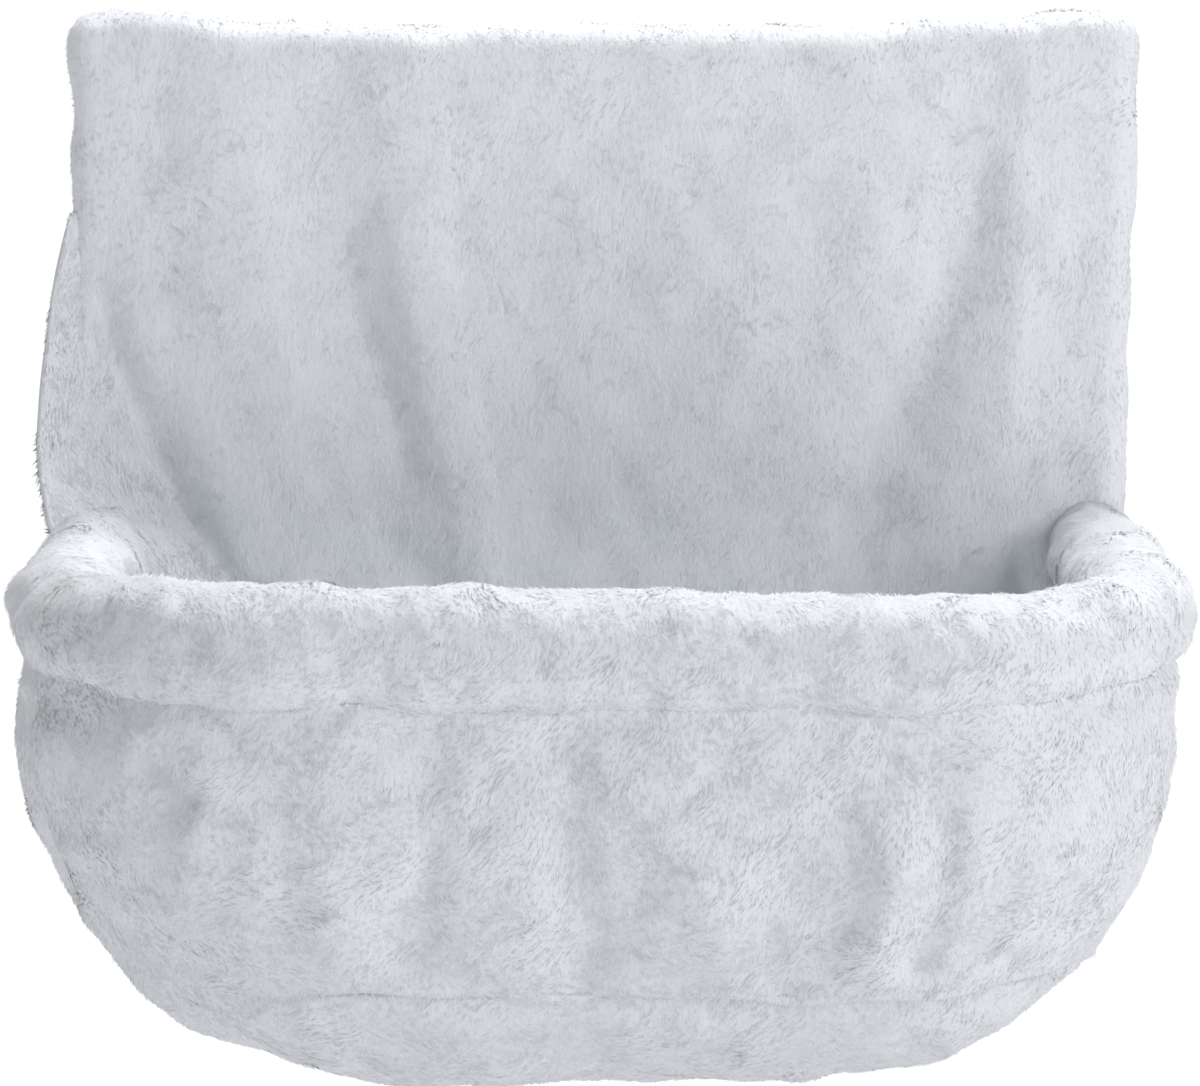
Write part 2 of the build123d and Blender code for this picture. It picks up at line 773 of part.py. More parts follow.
flap_y = liner_rear_y + strip_tape_thickness * 2 + flap_thickness / 2
flap_z = flap_thickness / 2 - panel_bottom
with BuildPart() as closure_flap:
    with BuildSketch(Plane.YZ):
        with BuildLine():
            FilletPolyline(
                (liner_front_y - running_gap, flap_z),
                (flap_y, flap_z),
                (flap_y, flap_height - panel_bottom),
                radius=flap_bend_radius,
            )
        trace(line_width=flap_thickness)
    extrude(amount=closure_half_width, both=True)
save(closure_flap, "closure_flap")

# Foam round the hoop, and the plush sleeve round the foam
foam_radius = rim_radius - rim_cloth - running_gap
foam_start_y = socket_end_y - rim_foam_start
with BuildPart() as rim_foam:
    add(hoop_bar(foam_radius, foam_start_y))
    add(hoop_bar(hoop_radius + running_gap, foam_start_y + overrun), mode=Mode.SUBTRACT)
save(rim_foam, "rim_foam")

with BuildPart() as rim_sleeve:
    add(hoop_bar(rim_radius, rim_start_y))
    add(hoop_bar(rim_radius - rim_cloth, rim_start_y + overrun), mode=Mode.SUBTRACT)
save(rim_sleeve, "rim_sleeve")

# Side gussets: slack webs from the panel's sides down to the rim
gusset_top_z = hoop_z + gusset_height
gusset_front_y = rim_start_y - gusset_reach
gusset_middle = (
    (rim_start_y + gusset_front_y + gusset_slack) / 2,
    (hoop_z + gusset_top_z - gusset_slack) / 2,
)
for side, hand in hands:
    gusset_x = side * (half_span + gusset_inset + gusset_thickness / 2)
    with BuildPart() as gusset:
        with BuildSketch(Plane.YZ.offset(gusset_x)):
            with BuildLine():
                Line((rim_start_y, hoop_z), (rim_start_y, gusset_top_z))
                ThreePointArc((rim_start_y, gusset_top_z), gusset_middle, (gusset_front_y, hoop_z))
                Line((gusset_front_y, hoop_z), (rim_start_y, hoop_z))
            make_face()
        extrude(amount=gusset_thickness / 2, both=True)
        add(hoop_bar(tunnel_radius, rim_start_y + overrun), mode=Mode.SUBTRACT)
    save(gusset, f"side_gusset_{hand}")

# Bowl wall and its lining, both cut round the rim
with BuildPart() as bowl_wall:
    add(wall_block(0, rim_start_y))
    add(wall_block(wall_cloth, rim_start_y + overrun), mode=Mode.SUBTRACT)
    add(hoop_bar(tunnel_radius, rim_start_y + overrun), mode=Mode.SUBTRACT)
save(bowl_wall, "bowl_wall")

lining_inset = wall_cloth + running_gap
with BuildPart() as bowl_lining:
    add(wall_block(lining_inset, rim_start_y))
    add(wall_block(lining_inset + lining_cloth, rim_start_y + overrun), mode=Mode.SUBTRACT)
    add(hoop_bar(tunnel_radius, rim_start_y + overrun), mode=Mode.SUBTRACT)
save(bowl_lining, "bowl_lining")

# Floor: plush outside, wadding between, plush inside
wadding_inset = floor_cloth + running_gap
floor_lining_inset = wadding_inset + wadding_thickness + running_gap
save(floor_layer(0, floor_cloth), "bowl_floor")
save(floor_layer(wadding_inset, wadding_thickness), "floor_wadding")
save(floor_layer(floor_lining_inset, floor_lining_cloth), "floor_lining")
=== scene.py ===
import json
from math import cos, pi, radians, sin, tau
import bmesh
import bpy
import numpy as np
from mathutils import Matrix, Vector


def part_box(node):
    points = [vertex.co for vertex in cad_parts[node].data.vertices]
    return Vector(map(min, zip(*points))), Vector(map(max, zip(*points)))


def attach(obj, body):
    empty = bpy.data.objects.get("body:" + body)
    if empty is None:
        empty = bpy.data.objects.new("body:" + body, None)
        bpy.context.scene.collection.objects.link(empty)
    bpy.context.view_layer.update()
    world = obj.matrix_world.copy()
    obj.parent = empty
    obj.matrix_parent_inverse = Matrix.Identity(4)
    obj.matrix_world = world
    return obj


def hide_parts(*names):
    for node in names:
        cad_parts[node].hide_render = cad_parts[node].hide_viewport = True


# Plush cat hammock for a radiator, dressed over its steel frame.
# Sizes here are millimetres; meshes are written in metres. Front is -Y, up is +Z.
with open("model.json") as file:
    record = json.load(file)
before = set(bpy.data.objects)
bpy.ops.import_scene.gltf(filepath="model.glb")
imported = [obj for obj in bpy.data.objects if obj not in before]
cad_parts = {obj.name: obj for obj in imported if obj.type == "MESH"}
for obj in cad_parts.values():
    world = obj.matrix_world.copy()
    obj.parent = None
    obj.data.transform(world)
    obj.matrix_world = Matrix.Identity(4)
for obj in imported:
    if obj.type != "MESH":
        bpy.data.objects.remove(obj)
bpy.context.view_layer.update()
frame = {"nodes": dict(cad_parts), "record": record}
nodes = frame["nodes"]
MM = 0.001


def node_box(name):
    """Lowest and highest corner of a frame node, in millimetres."""
    low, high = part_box(name)
    return np.array(low) / MM, np.array(high) / MM


# Places taken from the frame
rim_low, rim_high = node_box("rim_sleeve")
upright_low, upright_high = node_box("upright_right")
panel_low, panel_high = node_box("back_panel")
wall_low, wall_high = node_box("bowl_wall")
rim_radius = (rim_high[2] - rim_low[2]) / 2
hoop_z = (rim_high[2] + rim_low[2]) / 2
hoop_half = (upright_low[0] + upright_high[0]) / 2
hoop_front_y = rim_low[1] + rim_radius
rim_start_y = rim_high[1]
seam_z = wall_low[2]
wall_start_y = rim_start_y + 3.0
floor_z = node_box("bowl_floor")[0][2]
panel_front_y = rim_start_y + 0.3
liner_rear_y = node_box("rear_liner")[1][1]

# Sizes of the dress
hoop_corner = 85.0
cloth = 2.4
pile_rise = 1.6
pile_length = 3.3
tuft_half_widths = (0.22, 0.42)
edge_roll = 11.0
hem_width = 11.0
hem_roll = 3.0

# Camera and stage
photo_width = 1200.0
focal_pixels = 4500.0
camera_distance = 1725.0
camera_elevation = radians(8.58)
aim = np.array([0.0, -150.0, -146.0])
sensor = 36.0


def smooth(t):
    """Smooth step from 0 to 1."""
    t = np.clip(t, 0, 1)
    return t * t * (3 - 2 * t)


def lumps(points, size, seed, waves=26):
    """Soft seeded unevenness of about one lump per size, between about -1 and 1."""
    draw = np.random.default_rng(seed)
    total = np.zeros(points.shape[:-1])
    for _ in range(waves):
        direction = draw.normal(size=3)
        direction *= draw.uniform(0.6, 1.4) / (np.linalg.norm(direction) * size)
        total += np.sin(points @ direction * tau + draw.uniform(0, tau))
    return total / np.sqrt(waves / 2)


def distance_to(points, line):
    """Distance of flat points to a line of corners, and the share of the way along it."""
    best = np.full(points.shape[:-1], 1e9)
    along = np.zeros(points.shape[:-1])
    line = np.array(line, float)
    runs = len(line) - 1
    for i in range(runs):
        run = line[i + 1] - line[i]
        t = np.clip(((points - line[i]) @ run) / (run @ run), 0, 1)
        gap = np.linalg.norm(points - line[i] - t[..., None] * run, axis=-1)
        nearer = gap < best
        best = np.where(nearer, gap, best)
        along = np.where(nearer, (i + t) / runs, along)
    return best, along


def folds(points, table):
    """Height of a list of soft folds, each a line, a width, a height and how its ends fade."""
    height = np.zeros(points.shape[:-1])
    for line, width, rise, fade_start, fade_end in table:
        gap, along = distance_to(points, line)
        ends = 1.0
        if fade_start:
            ends = ends * smooth(along / fade_start)
        if fade_end:
            ends = ends * smooth((1 - along) / fade_end)
        height += rise * np.exp(-((gap / width) ** 2)) * ends
    return height


def arched(x, z, half, levels, lines, bulges, rise, fall):
    """Relief of soft folds side by side: arcs between lines that wander from level to level."""
    levels = -np.array(levels)
    relief = np.zeros_like(x)
    at = [np.interp(-z, levels, line) * half for line in zip(*lines)]
    for left, right, sizes in zip(at, at[1:], zip(*bulges)):
        size = np.interp(-z, levels, sizes)
        hump = np.clip(1 - ((2 * x - left - right) / (right - left)) ** 2, 0, 1)
        relief += (0.5 * hump + 0.5 * smooth(hump)) * size * np.where(size > 0, rise, fall)
    return relief


def grid_normals(grid, loop_columns=False):
    """Normals of a grid of points, rows by columns."""
    across = np.roll(grid, -1, 1) - np.roll(grid, 1, 1) if loop_columns else np.gradient(grid, axis=1)
    normal = np.cross(np.gradient(grid, axis=0), across)
    length = np.linalg.norm(normal, axis=-1, keepdims=True)
    return normal / np.maximum(length, 1e-9)


def grid_faces(rows, columns, loop_rows=False, loop_columns=False, start=0, flip=False):
    """Quads between neighbouring points of a grid."""
    r = np.arange(rows if loop_rows else rows - 1)
    c = np.arange(columns if loop_columns else columns - 1)
    r, c = np.meshgrid(r, c, indexing="ij")
    r2, c2 = (r + 1) % rows, (c + 1) % columns
    quads = np.stack([r * columns + c, r2 * columns + c, r2 * columns + c2, r * columns + c2], -1)
    quads = quads.reshape(-1, 4) + start
    return quads[:, ::-1] if flip else quads


def make_mesh(name, points, faces, material, smooth_shaded=True):
    """A mesh piece from points in millimetres and faces of one size."""
    faces = np.asarray(faces)
    sides = faces.shape[1]
    mesh = bpy.data.meshes.new(name)
    mesh.vertices.add(len(points))
    mesh.vertices.foreach_set("co", (np.asarray(points, float) * MM).astype(np.float32).ravel())
    mesh.loops.add(faces.size)
    mesh.loops.foreach_set("vertex_index", faces.astype(np.int32).ravel())
    mesh.polygons.add(len(faces))
    mesh.polygons.foreach_set("loop_start", np.arange(0, faces.size, sides, dtype=np.int32))
    mesh.polygons.foreach_set("use_smooth", np.full(len(faces), smooth_shaded))
    mesh.update(calc_edges=True)
    mesh.validate()
    for one in material if isinstance(material, list) else [material]:
        mesh.materials.append(one)
    piece = bpy.data.objects.new(name, mesh)
    bpy.context.scene.collection.objects.link(piece)
    return piece


def edit_mesh(piece, change):
    """Applies a change to the mesh of a piece."""
    work = bmesh.new()
    work.from_mesh(piece.data)
    change(work)
    work.to_mesh(piece.data)
    work.free()
    return piece


def weld(piece):
    """Joins the points of a piece that lie in one place."""
    return edit_mesh(piece, lambda work: bmesh.ops.remove_doubles(work, verts=work.verts, dist=1e-6))


def cloth_piece(name, grid, thickness, material, loop_columns=False):
    """A closed sheet of cloth: the grid is its outside, and the inside lies one thickness behind."""
    rows, columns = grid.shape[:2]
    inside = grid - grid_normals(grid, loop_columns=loop_columns) * thickness
    points = np.concatenate([grid.reshape(-1, 3), inside.reshape(-1, 3)])
    count = rows * columns
    faces = [
        grid_faces(rows, columns, loop_columns=loop_columns),
        grid_faces(rows, columns, loop_columns=loop_columns, start=count, flip=True),
    ]
    index = np.arange(count).reshape(rows, columns)
    borders = [index[0], index[-1][::-1]]
    if not loop_columns:
        borders += [index[:, 0][::-1], index[:, -1]]
    for border in borders:
        a, b = border[:-1], border[1:]
        if loop_columns:
            a, b = border, np.roll(border, -1)
        faces.append(np.stack([a, b, b + count, a + count], -1))
    return make_mesh(name, points, np.concatenate(faces), material)


def pile_piece(name, grid, count, material, seed, loop_columns=False):
    """Short plush pile on a grid: small closed tufts that lean down and clump together."""
    draw = np.random.default_rng(seed)
    normals = grid_normals(grid, loop_columns)
    if loop_columns:
        grid, normals = (np.concatenate([part, part[:, :1]], axis=1) for part in (grid, normals))
    rows, columns = grid.shape[:2]
    corner = grid[:-1, :-1]
    area = np.linalg.norm(np.cross(grid[1:, :-1] - corner, grid[:-1, 1:] - corner), axis=-1)
    chance = (area / area.sum()).ravel()
    cell = draw.choice(len(chance), size=count, p=chance)
    r, c = np.divmod(cell, columns - 1)
    a, b = draw.random((2, count, 1))

    def blend(values):
        low = values[r, c] * (1 - b) + values[r, c + 1] * b
        high = values[r + 1, c] * (1 - b) + values[r + 1, c + 1] * b
        return low * (1 - a) + high * a

    root, normal = blend(grid), blend(normals)
    normal /= np.linalg.norm(normal, axis=-1, keepdims=True)
    sweep = np.stack(
        [
            lumps(root, 34.0, seed + 1) * 0.9,
            lumps(root, 40.0, seed + 2) * 0.5,
            -1.0 + 0.5 * lumps(root, 60.0, seed + 3),
        ],
        -1,
    )
    sweep += 0.12 * np.stack([lumps(root, 9.0, seed + k) for k in (4, 5, 6)], -1)
    sweep += draw.normal(scale=0.15, size=(count, 3))
    sweep -= normal * (sweep * normal).sum(-1, keepdims=True)
    sweep /= np.maximum(np.linalg.norm(sweep, axis=-1, keepdims=True), 1e-6)
    lift = 0.23 + 0.03 * lumps(root, 12.0, seed + 7) + draw.normal(scale=0.04, size=count)
    lift = np.clip(lift, 0.08, 0.6)[:, None]
    reach = pile_length * draw.uniform(0.7, 1.25, (count, 1))
    reach = reach * (1 + 0.15 * lumps(root, 15.0, seed + 8))[:, None]
    tip = root + (normal * lift + sweep * np.sqrt(1 - lift**2)) * reach
    side = np.cross(normal, sweep)
    wide = draw.uniform(*tuft_half_widths, (count, 1))
    sunk = root - normal * 0.5
    points = np.stack(
        [sunk + side * wide, sunk - side * wide, sunk - sweep * wide * 0.6 + normal * wide, tip], 1
    )
    base = (np.arange(count) * 4)[:, None, None]
    faces = np.array([[1, 0, 3], [2, 1, 3], [0, 2, 3], [2, 0, 1]])[None] + base
    piece = make_mesh(name, points.reshape(-1, 3), faces.reshape(-1, 3), material)
    # Each tuft takes one of the three tip whites, painted light and shade, at random in soft patches
    tone = 1 + 0.2 * lumps(root, 16.0, seed + 9) + draw.normal(scale=0.5, size=count)
    shade = np.clip(np.round(tone), 0, 2)
    piece.data.polygons.foreach_set("material_index", np.repeat(shade.astype(np.int32), 4))
    own = np.zeros(count * 12)
    piece.data.polygons.foreach_get("normal", own)
    own = np.repeat(own.reshape(-1, 3), 3, 0)
    # The pile of edges and sides shows its own sides more than the pile that lies open to the front
    own_share = 0.22 + 0.45 * smooth((0.6 + normal[:, 1]) / 0.8)
    bent = np.repeat(normal, 12, 0) + np.repeat(own_share, 12)[:, None] * own
    bent /= np.linalg.norm(bent, axis=-1, keepdims=True)
    piece.data.normals_split_custom_set(bent.tolist())
    return piece


def linear(hex_colour):
    """Linear colour from an sRGB hex value."""
    parts = [int(hex_colour[i : i + 2], 16) / 255 for i in (0, 2, 4)]
    return tuple(p / 12.92 if p <= 0.04045 else ((p + 0.055) / 1.055) ** 2.4 for p in parts) + (1.0,)


def add_node(tree, kind, settings=None, links=None):
    """Adds a shader node with its settings, and links its inputs to other nodes' outputs."""
    node = tree.nodes.new(kind)
    for key, value in (settings or {}).items():
        if isinstance(key, int) or (key in node.inputs and not hasattr(type(node), key)):
            node.inputs[key].default_value = value
        else:
            setattr(node, key, value)
    for key, (source, output) in (links or {}).items():
        tree.links.new(source.outputs[output], node.inputs[key])
    return node


def new_material(name):
    """An empty node material and its tree."""
    material = bpy.data.materials.new(name)
    material.use_nodes = True
    tree = material.node_tree
    tree.nodes.clear()
    return material, tree


def surface(tree, settings, links=None):
    """The material's shader, linked to its output."""
    shader = add_node(tree, "ShaderNodeBsdfPrincipled", settings, links)
    add_node(tree, "ShaderNodeOutputMaterial", links={"Surface": (shader, "BSDF")})


def two_tones(tree, source, low, high):
    """Ramp between two tones, each a place on the source and a colour."""
    ramp = add_node(tree, "ShaderNodeValToRGB", links={"Fac": source})
    for element, (place, colour) in zip(ramp.color_ramp.elements, (low, high)):
        element.position = place
        element.color = linear(colour)
    return ramp


def textured(tree, settings, ramp, height, strength, depth):
    """Shader that takes its colour from a ramp, with a bump of a depth in millimetres."""
    relief = {"Strength": strength, "Distance": depth * MM}
    bump = add_node(tree, "ShaderNodeBump", relief, {"Height": height})
    surface(tree, settings, {"Base Color": (ramp, "Color"), "Normal": (bump, "Normal")})


def plush_ground():
    """Polyester plush, knitted and sheared: a soft matt ground with a cool bloom at its edges."""
    material, tree = new_material("sheared_polyester_plush")
    place = add_node(tree, "ShaderNodeNewGeometry")
    stretch = {"operation": "MULTIPLY", 1: (1.0, 1.0, 0.4)}
    brushed = add_node(tree, "ShaderNodeVectorMath", stretch, {0: (place, "Position")})
    patches, tufts = (
        add_node(
            tree,
            "ShaderNodeTexNoise",
            {"Scale": scale, "Detail": detail, "Roughness": rough},
            {"Vector": (brushed, "Vector")},
        )
        for scale, detail, rough in ((70.0, 4.0, 0.6), (560.0, 3.0, 0.7))
    )
    evenly = {"data_type": "FLOAT", "Factor": 0.5}
    both = add_node(tree, "ShaderNodeMix", evenly, {"A": (patches, "Fac"), "B": (tufts, "Fac")})
    ramp = two_tones(tree, (both, "Result"), (0.36, "E5E8EC"), (0.62, "ECEEF2"))
    sheen = {"Sheen Weight": 0.35, "Sheen Roughness": 0.6, "Specular IOR Level": 0.15}
    textured(tree, {"Roughness": 0.95, **sheen}, ramp, (tufts, "Fac"), 0.5, 1.2)
    return material


def plush_pile():
    """Tips of the same plush in three near whites, as light catches tufts that lean differently."""
    made = []
    for name, colour in (("low", "E6E8EC"), ("middle", "EAECF0"), ("high", "EEF0F3")):
        material, tree = new_material(f"sheared_plush_tips_{name}")
        sheen = {"Sheen Weight": 0.3, "Sheen Roughness": 0.5, "Specular IOR Level": 0.2}
        # The three whites are painted light and shade; the faint glow is painted light too, for light
        # scattered through the fibres
        painted_glow = {"Emission Color": linear(colour), "Emission Strength": 0.05}
        surface(tree, {"Base Color": linear(colour), "Roughness": 0.9, **sheen, **painted_glow})
        made.append(material)
    return made


plush = plush_ground()
tips = plush_pile()


def d_lengths(start_y):
    """Lengths along half a D of the hoop and all round: side, corner, front and total."""
    straight = start_y - hoop_front_y - hoop_corner
    arc = hoop_corner * pi / 2
    across = 2 * (hoop_half - hoop_corner)
    return straight, arc, across, 2 * straight + 2 * arc + across


def hoop_line(count, start_y):
    """Points and outward directions along the D of the hoop, evenly spaced, from left to right."""
    straight, arc, across, total = d_lengths(start_y)
    s = np.linspace(0, total, count)
    points = np.zeros((count, 2))
    outward = np.zeros((count, 2))
    for i, way in enumerate(s):
        mirrored = way > total / 2
        d = total - way if mirrored else way
        if d < straight:
            p, n = (-hoop_half, start_y - d), (-1.0, 0.0)
        elif d < straight + arc:
            turn = (d - straight) / hoop_corner
            n = (-cos(turn), -sin(turn))
            p = (-hoop_half + hoop_corner * (1 + n[0]), hoop_front_y + hoop_corner * (1 + n[1]))
        else:
            p, n = (-hoop_half + hoop_corner + (d - straight - arc), hoop_front_y), (0.0, -1.0)
        points[i] = (-p[0], p[1]) if mirrored else p
        outward[i] = (-n[0], n[1]) if mirrored else n
    return points, outward, s / total


def around_hoop(line, outward, radius, angle):
    """Points round the hoop's line, each at its radius and angle."""
    return np.stack(
        [
            line[:, 0, None] + outward[:, 0, None] * radius * np.cos(angle),
            line[:, 1, None] + outward[:, 1, None] * radius * np.cos(angle),
            hoop_z + radius * np.sin(angle) + 0 * line[:, 0, None],
        ],
        -1,
    )


# Back cover
panel_rows = 150
panel_columns = 190
roll_steps = 16
edge_left_levels = (-300, -200, -146, -89, -60, -33, 8, 38, 55)
edge_left_x = (-219, -222, -224, -222, -219, -215.5, -215, -216.5, -216)
edge_right_levels = (-300, -146, -87, -45, -4, 38, 55)
edge_right_x = (217, 216, 216, 217, 219, 218.5, 218)
top_places = (-214, -201, -170, -153, -134, -80, 80, 121, 137, 173, 189, 209, 217)
top_levels = (51.5, 54.5, 55.5, 50.6, 49.5, 48.2, 48.0, 48.6, 51.4, 51.6, 54.5, 54.5, 51.5)
panel_arcs = dict(
    half=176.0,
    levels=(55.0, -50.6, -149.2, -226.6, -297.0),
    lines=(
        (-1.0, -0.76, -0.58, -0.34, 0.0, 0.80, 0.93, 1.0),
        (-1.0, -0.70, -0.51, -0.32, 0.02, 0.72, 0.90, 1.0),
        (-1.0, -0.56, -0.37, -0.22, 0.04, 0.52, 0.69, 1.0),
        (-1.0, -0.50, -0.33, -0.19, 0.05, 0.46, 0.63, 1.0),
        (-1.0, -0.50, -0.33, -0.19, 0.05, 0.46, 0.63, 1.0),
    ),
    bulges=(
        (0.2, -0.4, 0.3, -0.3, 0.2, -0.4, 0.1),
        (0.6, -1.0, 0.7, -0.7, 0.5, -1.0, 0.3),
        (0.7, -1.0, 0.6, -0.6, 0.6, -1.0, 0.6),
        (0.4, -0.6, 0.4, -0.4, 0.4, -0.6, 0.4),
        (0.1, -0.1, 0.1, -0.1, 0.1, -0.1, 0.1),
    ),
    rise=6.5,
    fall=3.4,
)
panel_folds = (
    # line of corners (x, z), width, rise towards the viewer, fade in, fade out
    (((-208, -32), (-197, -88), (-181, -126), (-150, -180), (-128, -225)), 8.0, -5.0, 0.2, 0.2),
    (((-192, -30), (-178, -84), (-160, -128), (-130, -188)), 11.0, 2.4, 0.3, 0.3),
    (((-112, 14), (-105, -40), (-94, -82), (-82, -115), (-72, -160)), 8.0, -2.2, 0.35, 0.3),
    (((-86, 10), (-80, -40), (-72, -90), (-62, -140)), 10.0, 1.8, 0.4, 0.4),
    (((-140, -10), (-134, -60), (-118, -120)), 9.0, 1.3, 0.4, 0.4),
    (((166, 24), (150, -28), (134, -81), (113, -118), (98, -160)), 9.0, -2.2, 0.3, 0.4),
    (((186, 0), (178, -40), (166, -100), (152, -150)), 10.0, 2.0, 0.4, 0.3),
    (((126, 10), (112, -40), (92, -110), (82, -150)), 10.0, 1.4, 0.4, 0.4),
    (((62, 10), (60, -60), (52, -130)), 12.0, 1.2, 0.5, 0.4),
    (((176, -150), (182, -172), (184, -200)), 6.0, 4.0, 0.3, 0.3),
    (((166, -158), (171, -180), (174, -205)), 5.0, -3.0, 0.3, 0.3),
    (((160, 40), (164, 18), (158, 0)), 9.0, -2.0, 0.3, 0.5),
)


def top_edge(x):
    """Level of the cover's top edge, with its two raised corners, smoothed."""
    return sum(np.interp(x + step, top_places, top_levels) for step in (-9, -4.5, 0, 4.5, 9)) / 5


def back_cover_grid():
    """Outside of the back cover, rolled over the frame's edges to a hem behind."""
    def axis(steps):
        roll = np.linspace(1, 0, roll_steps, endpoint=False)
        place = np.concatenate([np.zeros(roll_steps), np.linspace(0, 1, steps), np.ones(roll_steps)])
        turn = np.concatenate([-roll, np.zeros(steps), roll[::-1]])
        return place, turn

    across, turn_x = axis(panel_columns)
    up, turn_z = axis(panel_rows)
    across, up = np.meshgrid(across, up)
    turn_x, turn_z = np.meshgrid(turn_x, turn_z)
    wide, tall = np.abs(turn_x), np.abs(turn_z)
    most = np.maximum(wide, tall)
    share = np.where(wide > tall, tall / np.maximum(wide, 1e-9), wide / np.maximum(tall, 1e-9))
    angle = np.where(wide >= tall, share * pi / 4, pi / 2 - share * pi / 4)
    out_x, out_z = np.cos(angle) * np.sign(turn_x), np.sin(angle) * np.sign(turn_z)
    out_x = np.where(most == 0, 0, out_x)
    out_z = np.where(most == 0, 0, out_z)

    depth = liner_rear_y - panel_front_y
    side_start = edge_roll * pi / 2
    side_end = side_start + depth - edge_roll - hem_roll
    hem_start = side_end + hem_roll * pi / 2
    way = most * (hem_start + hem_width)
    bend = np.clip(way / edge_roll, 0, pi / 2)
    back_bend = np.clip((way - side_end) / hem_roll, 0, pi / 2)
    hem = np.clip(way - hem_start, 0, None)
    outset = edge_roll * np.sin(bend) - hem_roll * (1 - np.cos(back_bend)) - hem
    straight = np.clip(way - side_start, 0, side_end - side_start)
    back = edge_roll * (1 - np.cos(bend)) + straight + hem_roll * np.sin(back_bend)

    drawn_in = edge_roll + pile_rise
    bottom = panel_low[2] + drawn_in
    level = bottom * (1 - up)
    for _ in range(3):
        left = np.interp(level, edge_left_levels, edge_left_x) + drawn_in
        right = np.interp(level, edge_right_levels, edge_right_x) - drawn_in
        x = left + (right - left) * across
        top = top_edge(x) - drawn_in
        level = bottom + (top - bottom) * up
    spots = np.stack([x, 0 * x, level], -1)
    face = folds(spots[..., ::2], panel_folds) + 0.85 * arched(x, level, **panel_arcs)
    face += lumps(spots, 75.0, 21) + 0.45 * lumps(spots, 26.0, 22)
    face *= smooth(1 - most * 2.2)
    grid = np.stack([x + out_x * outset, panel_front_y - face + back, level + out_z * outset], -1)
    edge_soft = 0.5 * lumps(grid, 30.0, 23) * smooth(most * 3)
    grid[..., 0] += out_x * edge_soft
    grid[..., 2] += out_z * edge_soft
    return grid


# Rim; reaches are angles round the tube from its seam, and places and spreads shares along the hoop
rim_steps = 320
rim_sides = 72
front_bulge, bulge_reach = 6.0, 0.75
groove_depth, groove_fade, groove_reach = 3.6, 2.9, 0.15
left_fullness, fullness_width = 3.2, 150.0
end_narrowing, end_spread = 0.05, 0.05
pucker_depth, pucker_count, pucker_place, pucker_spread = 1.6, 34, 0.245, 0.07


def rim_front(share):
    """1 along the rim's front and 0 along its sides."""
    return smooth((0.30 - np.abs(share - 0.5)) / 0.14)


def rim_seam(share):
    """Angle of the rim's seam: low in front, and half way up outside at the sides."""
    side = np.abs(share - 0.5) * 2
    return np.radians(-57 + 35 * smooth((side - 0.5) / 0.45))


def seam_radius(share):
    """How far the seam lies from the hoop."""
    return rim_radius - 4.6 + 8.2 * rim_front(share)


def rim_grid():
    """Outside of the plush tunnel round the front hoop."""
    line, outward, share = hoop_line(rim_steps, rim_start_y + 2)
    around = np.linspace(0, tau, rim_sides, endpoint=False)
    seam = rim_seam(share)[:, None]
    angle = seam + around[None, :]
    from_seam = np.minimum(around, tau - around)[None, :]
    even = around_hoop(line, outward, rim_radius, angle)
    radius = rim_radius - pile_rise + 0.7 * lumps(even, 48.0, 31) + 0.4 * lumps(even, 17.0, 32)
    front = rim_front(share)[:, None]
    radius = radius + front_bulge * front * np.exp(-((from_seam / bulge_reach) ** 2))
    radius = radius - (groove_depth - groove_fade * front) * np.exp(-((from_seam / groove_reach) ** 2))
    lean = np.clip(-line[:, 0, None] / fullness_width, -1, 1)
    radius = radius + left_fullness * front * lean * np.clip(np.sin(angle), 0, 1) ** 2
    end = np.minimum(share, 1 - share)[:, None]
    radius = radius * (1 - end_narrowing * smooth(1 - end / end_spread))
    puckers = np.exp(-(((np.abs(share - 0.5) - pucker_place) / pucker_spread) ** 2))[:, None]
    inner = np.clip(-np.cos(angle), 0, 1) ** 2
    wave = 0.5 + 0.5 * np.sin(share[:, None] * tau * pucker_count)
    radius = radius - pucker_depth * puckers * inner * wave
    return around_hoop(line, outward, radius, angle)


# Bowl
wall_rows = 70
wall_columns = 330
floor_rings = 62
bowl_corner = 100.0
bowl_tuck = 27.0
pleat_depth = 0.9
floor_middle = np.array([0.0, -150.0])
floor_level_half = np.array([52.0, 26.0])
back_points = 110
floor_point_gap = 2.4
wall_levels = (0.0, 0.35, 0.6, 0.8, 1.0)
bowl_half_shares = (0.0, 0.0, 0.14, 0.48, 1.0)
bowl_front_shares = (0.18, 0.0, 0.08, 0.42, 0.95)
wall_arcs = dict(
    half=1.0,
    levels=(-166.0, -211.9, -244.6, -270.8, -297.0),
    lines=(
        (-119, -78, -50, -24, 2, 36, 78, 119),
        (-119, -78, -50, -24, 2, 43, 83, 119),
        (-115, -80, -54, -24, 3, 58, 89, 115),
        (-106, -82, -58, -24, 6, 72, 90, 106),
        (-92, -74, -52, -22, 6, 64, 80, 92),
    ),
    bulges=(
        (0.1, -0.1, 0.1, -0.1, 0.1, -0.1, 0.1),
        (0.6, -0.6, 0.4, -0.8, 0.8, -0.4, 0.7),
        (0.8, -0.8, 0.5, -1.0, 1.0, -0.5, 0.9),
        (0.6, -0.6, 0.4, -0.8, 0.9, -0.4, 0.6),
        (0.1, -0.1, 0.1, -0.1, 0.1, -0.1, 0.1),
    ),
    rise=3.5,
    fall=3.5,
)
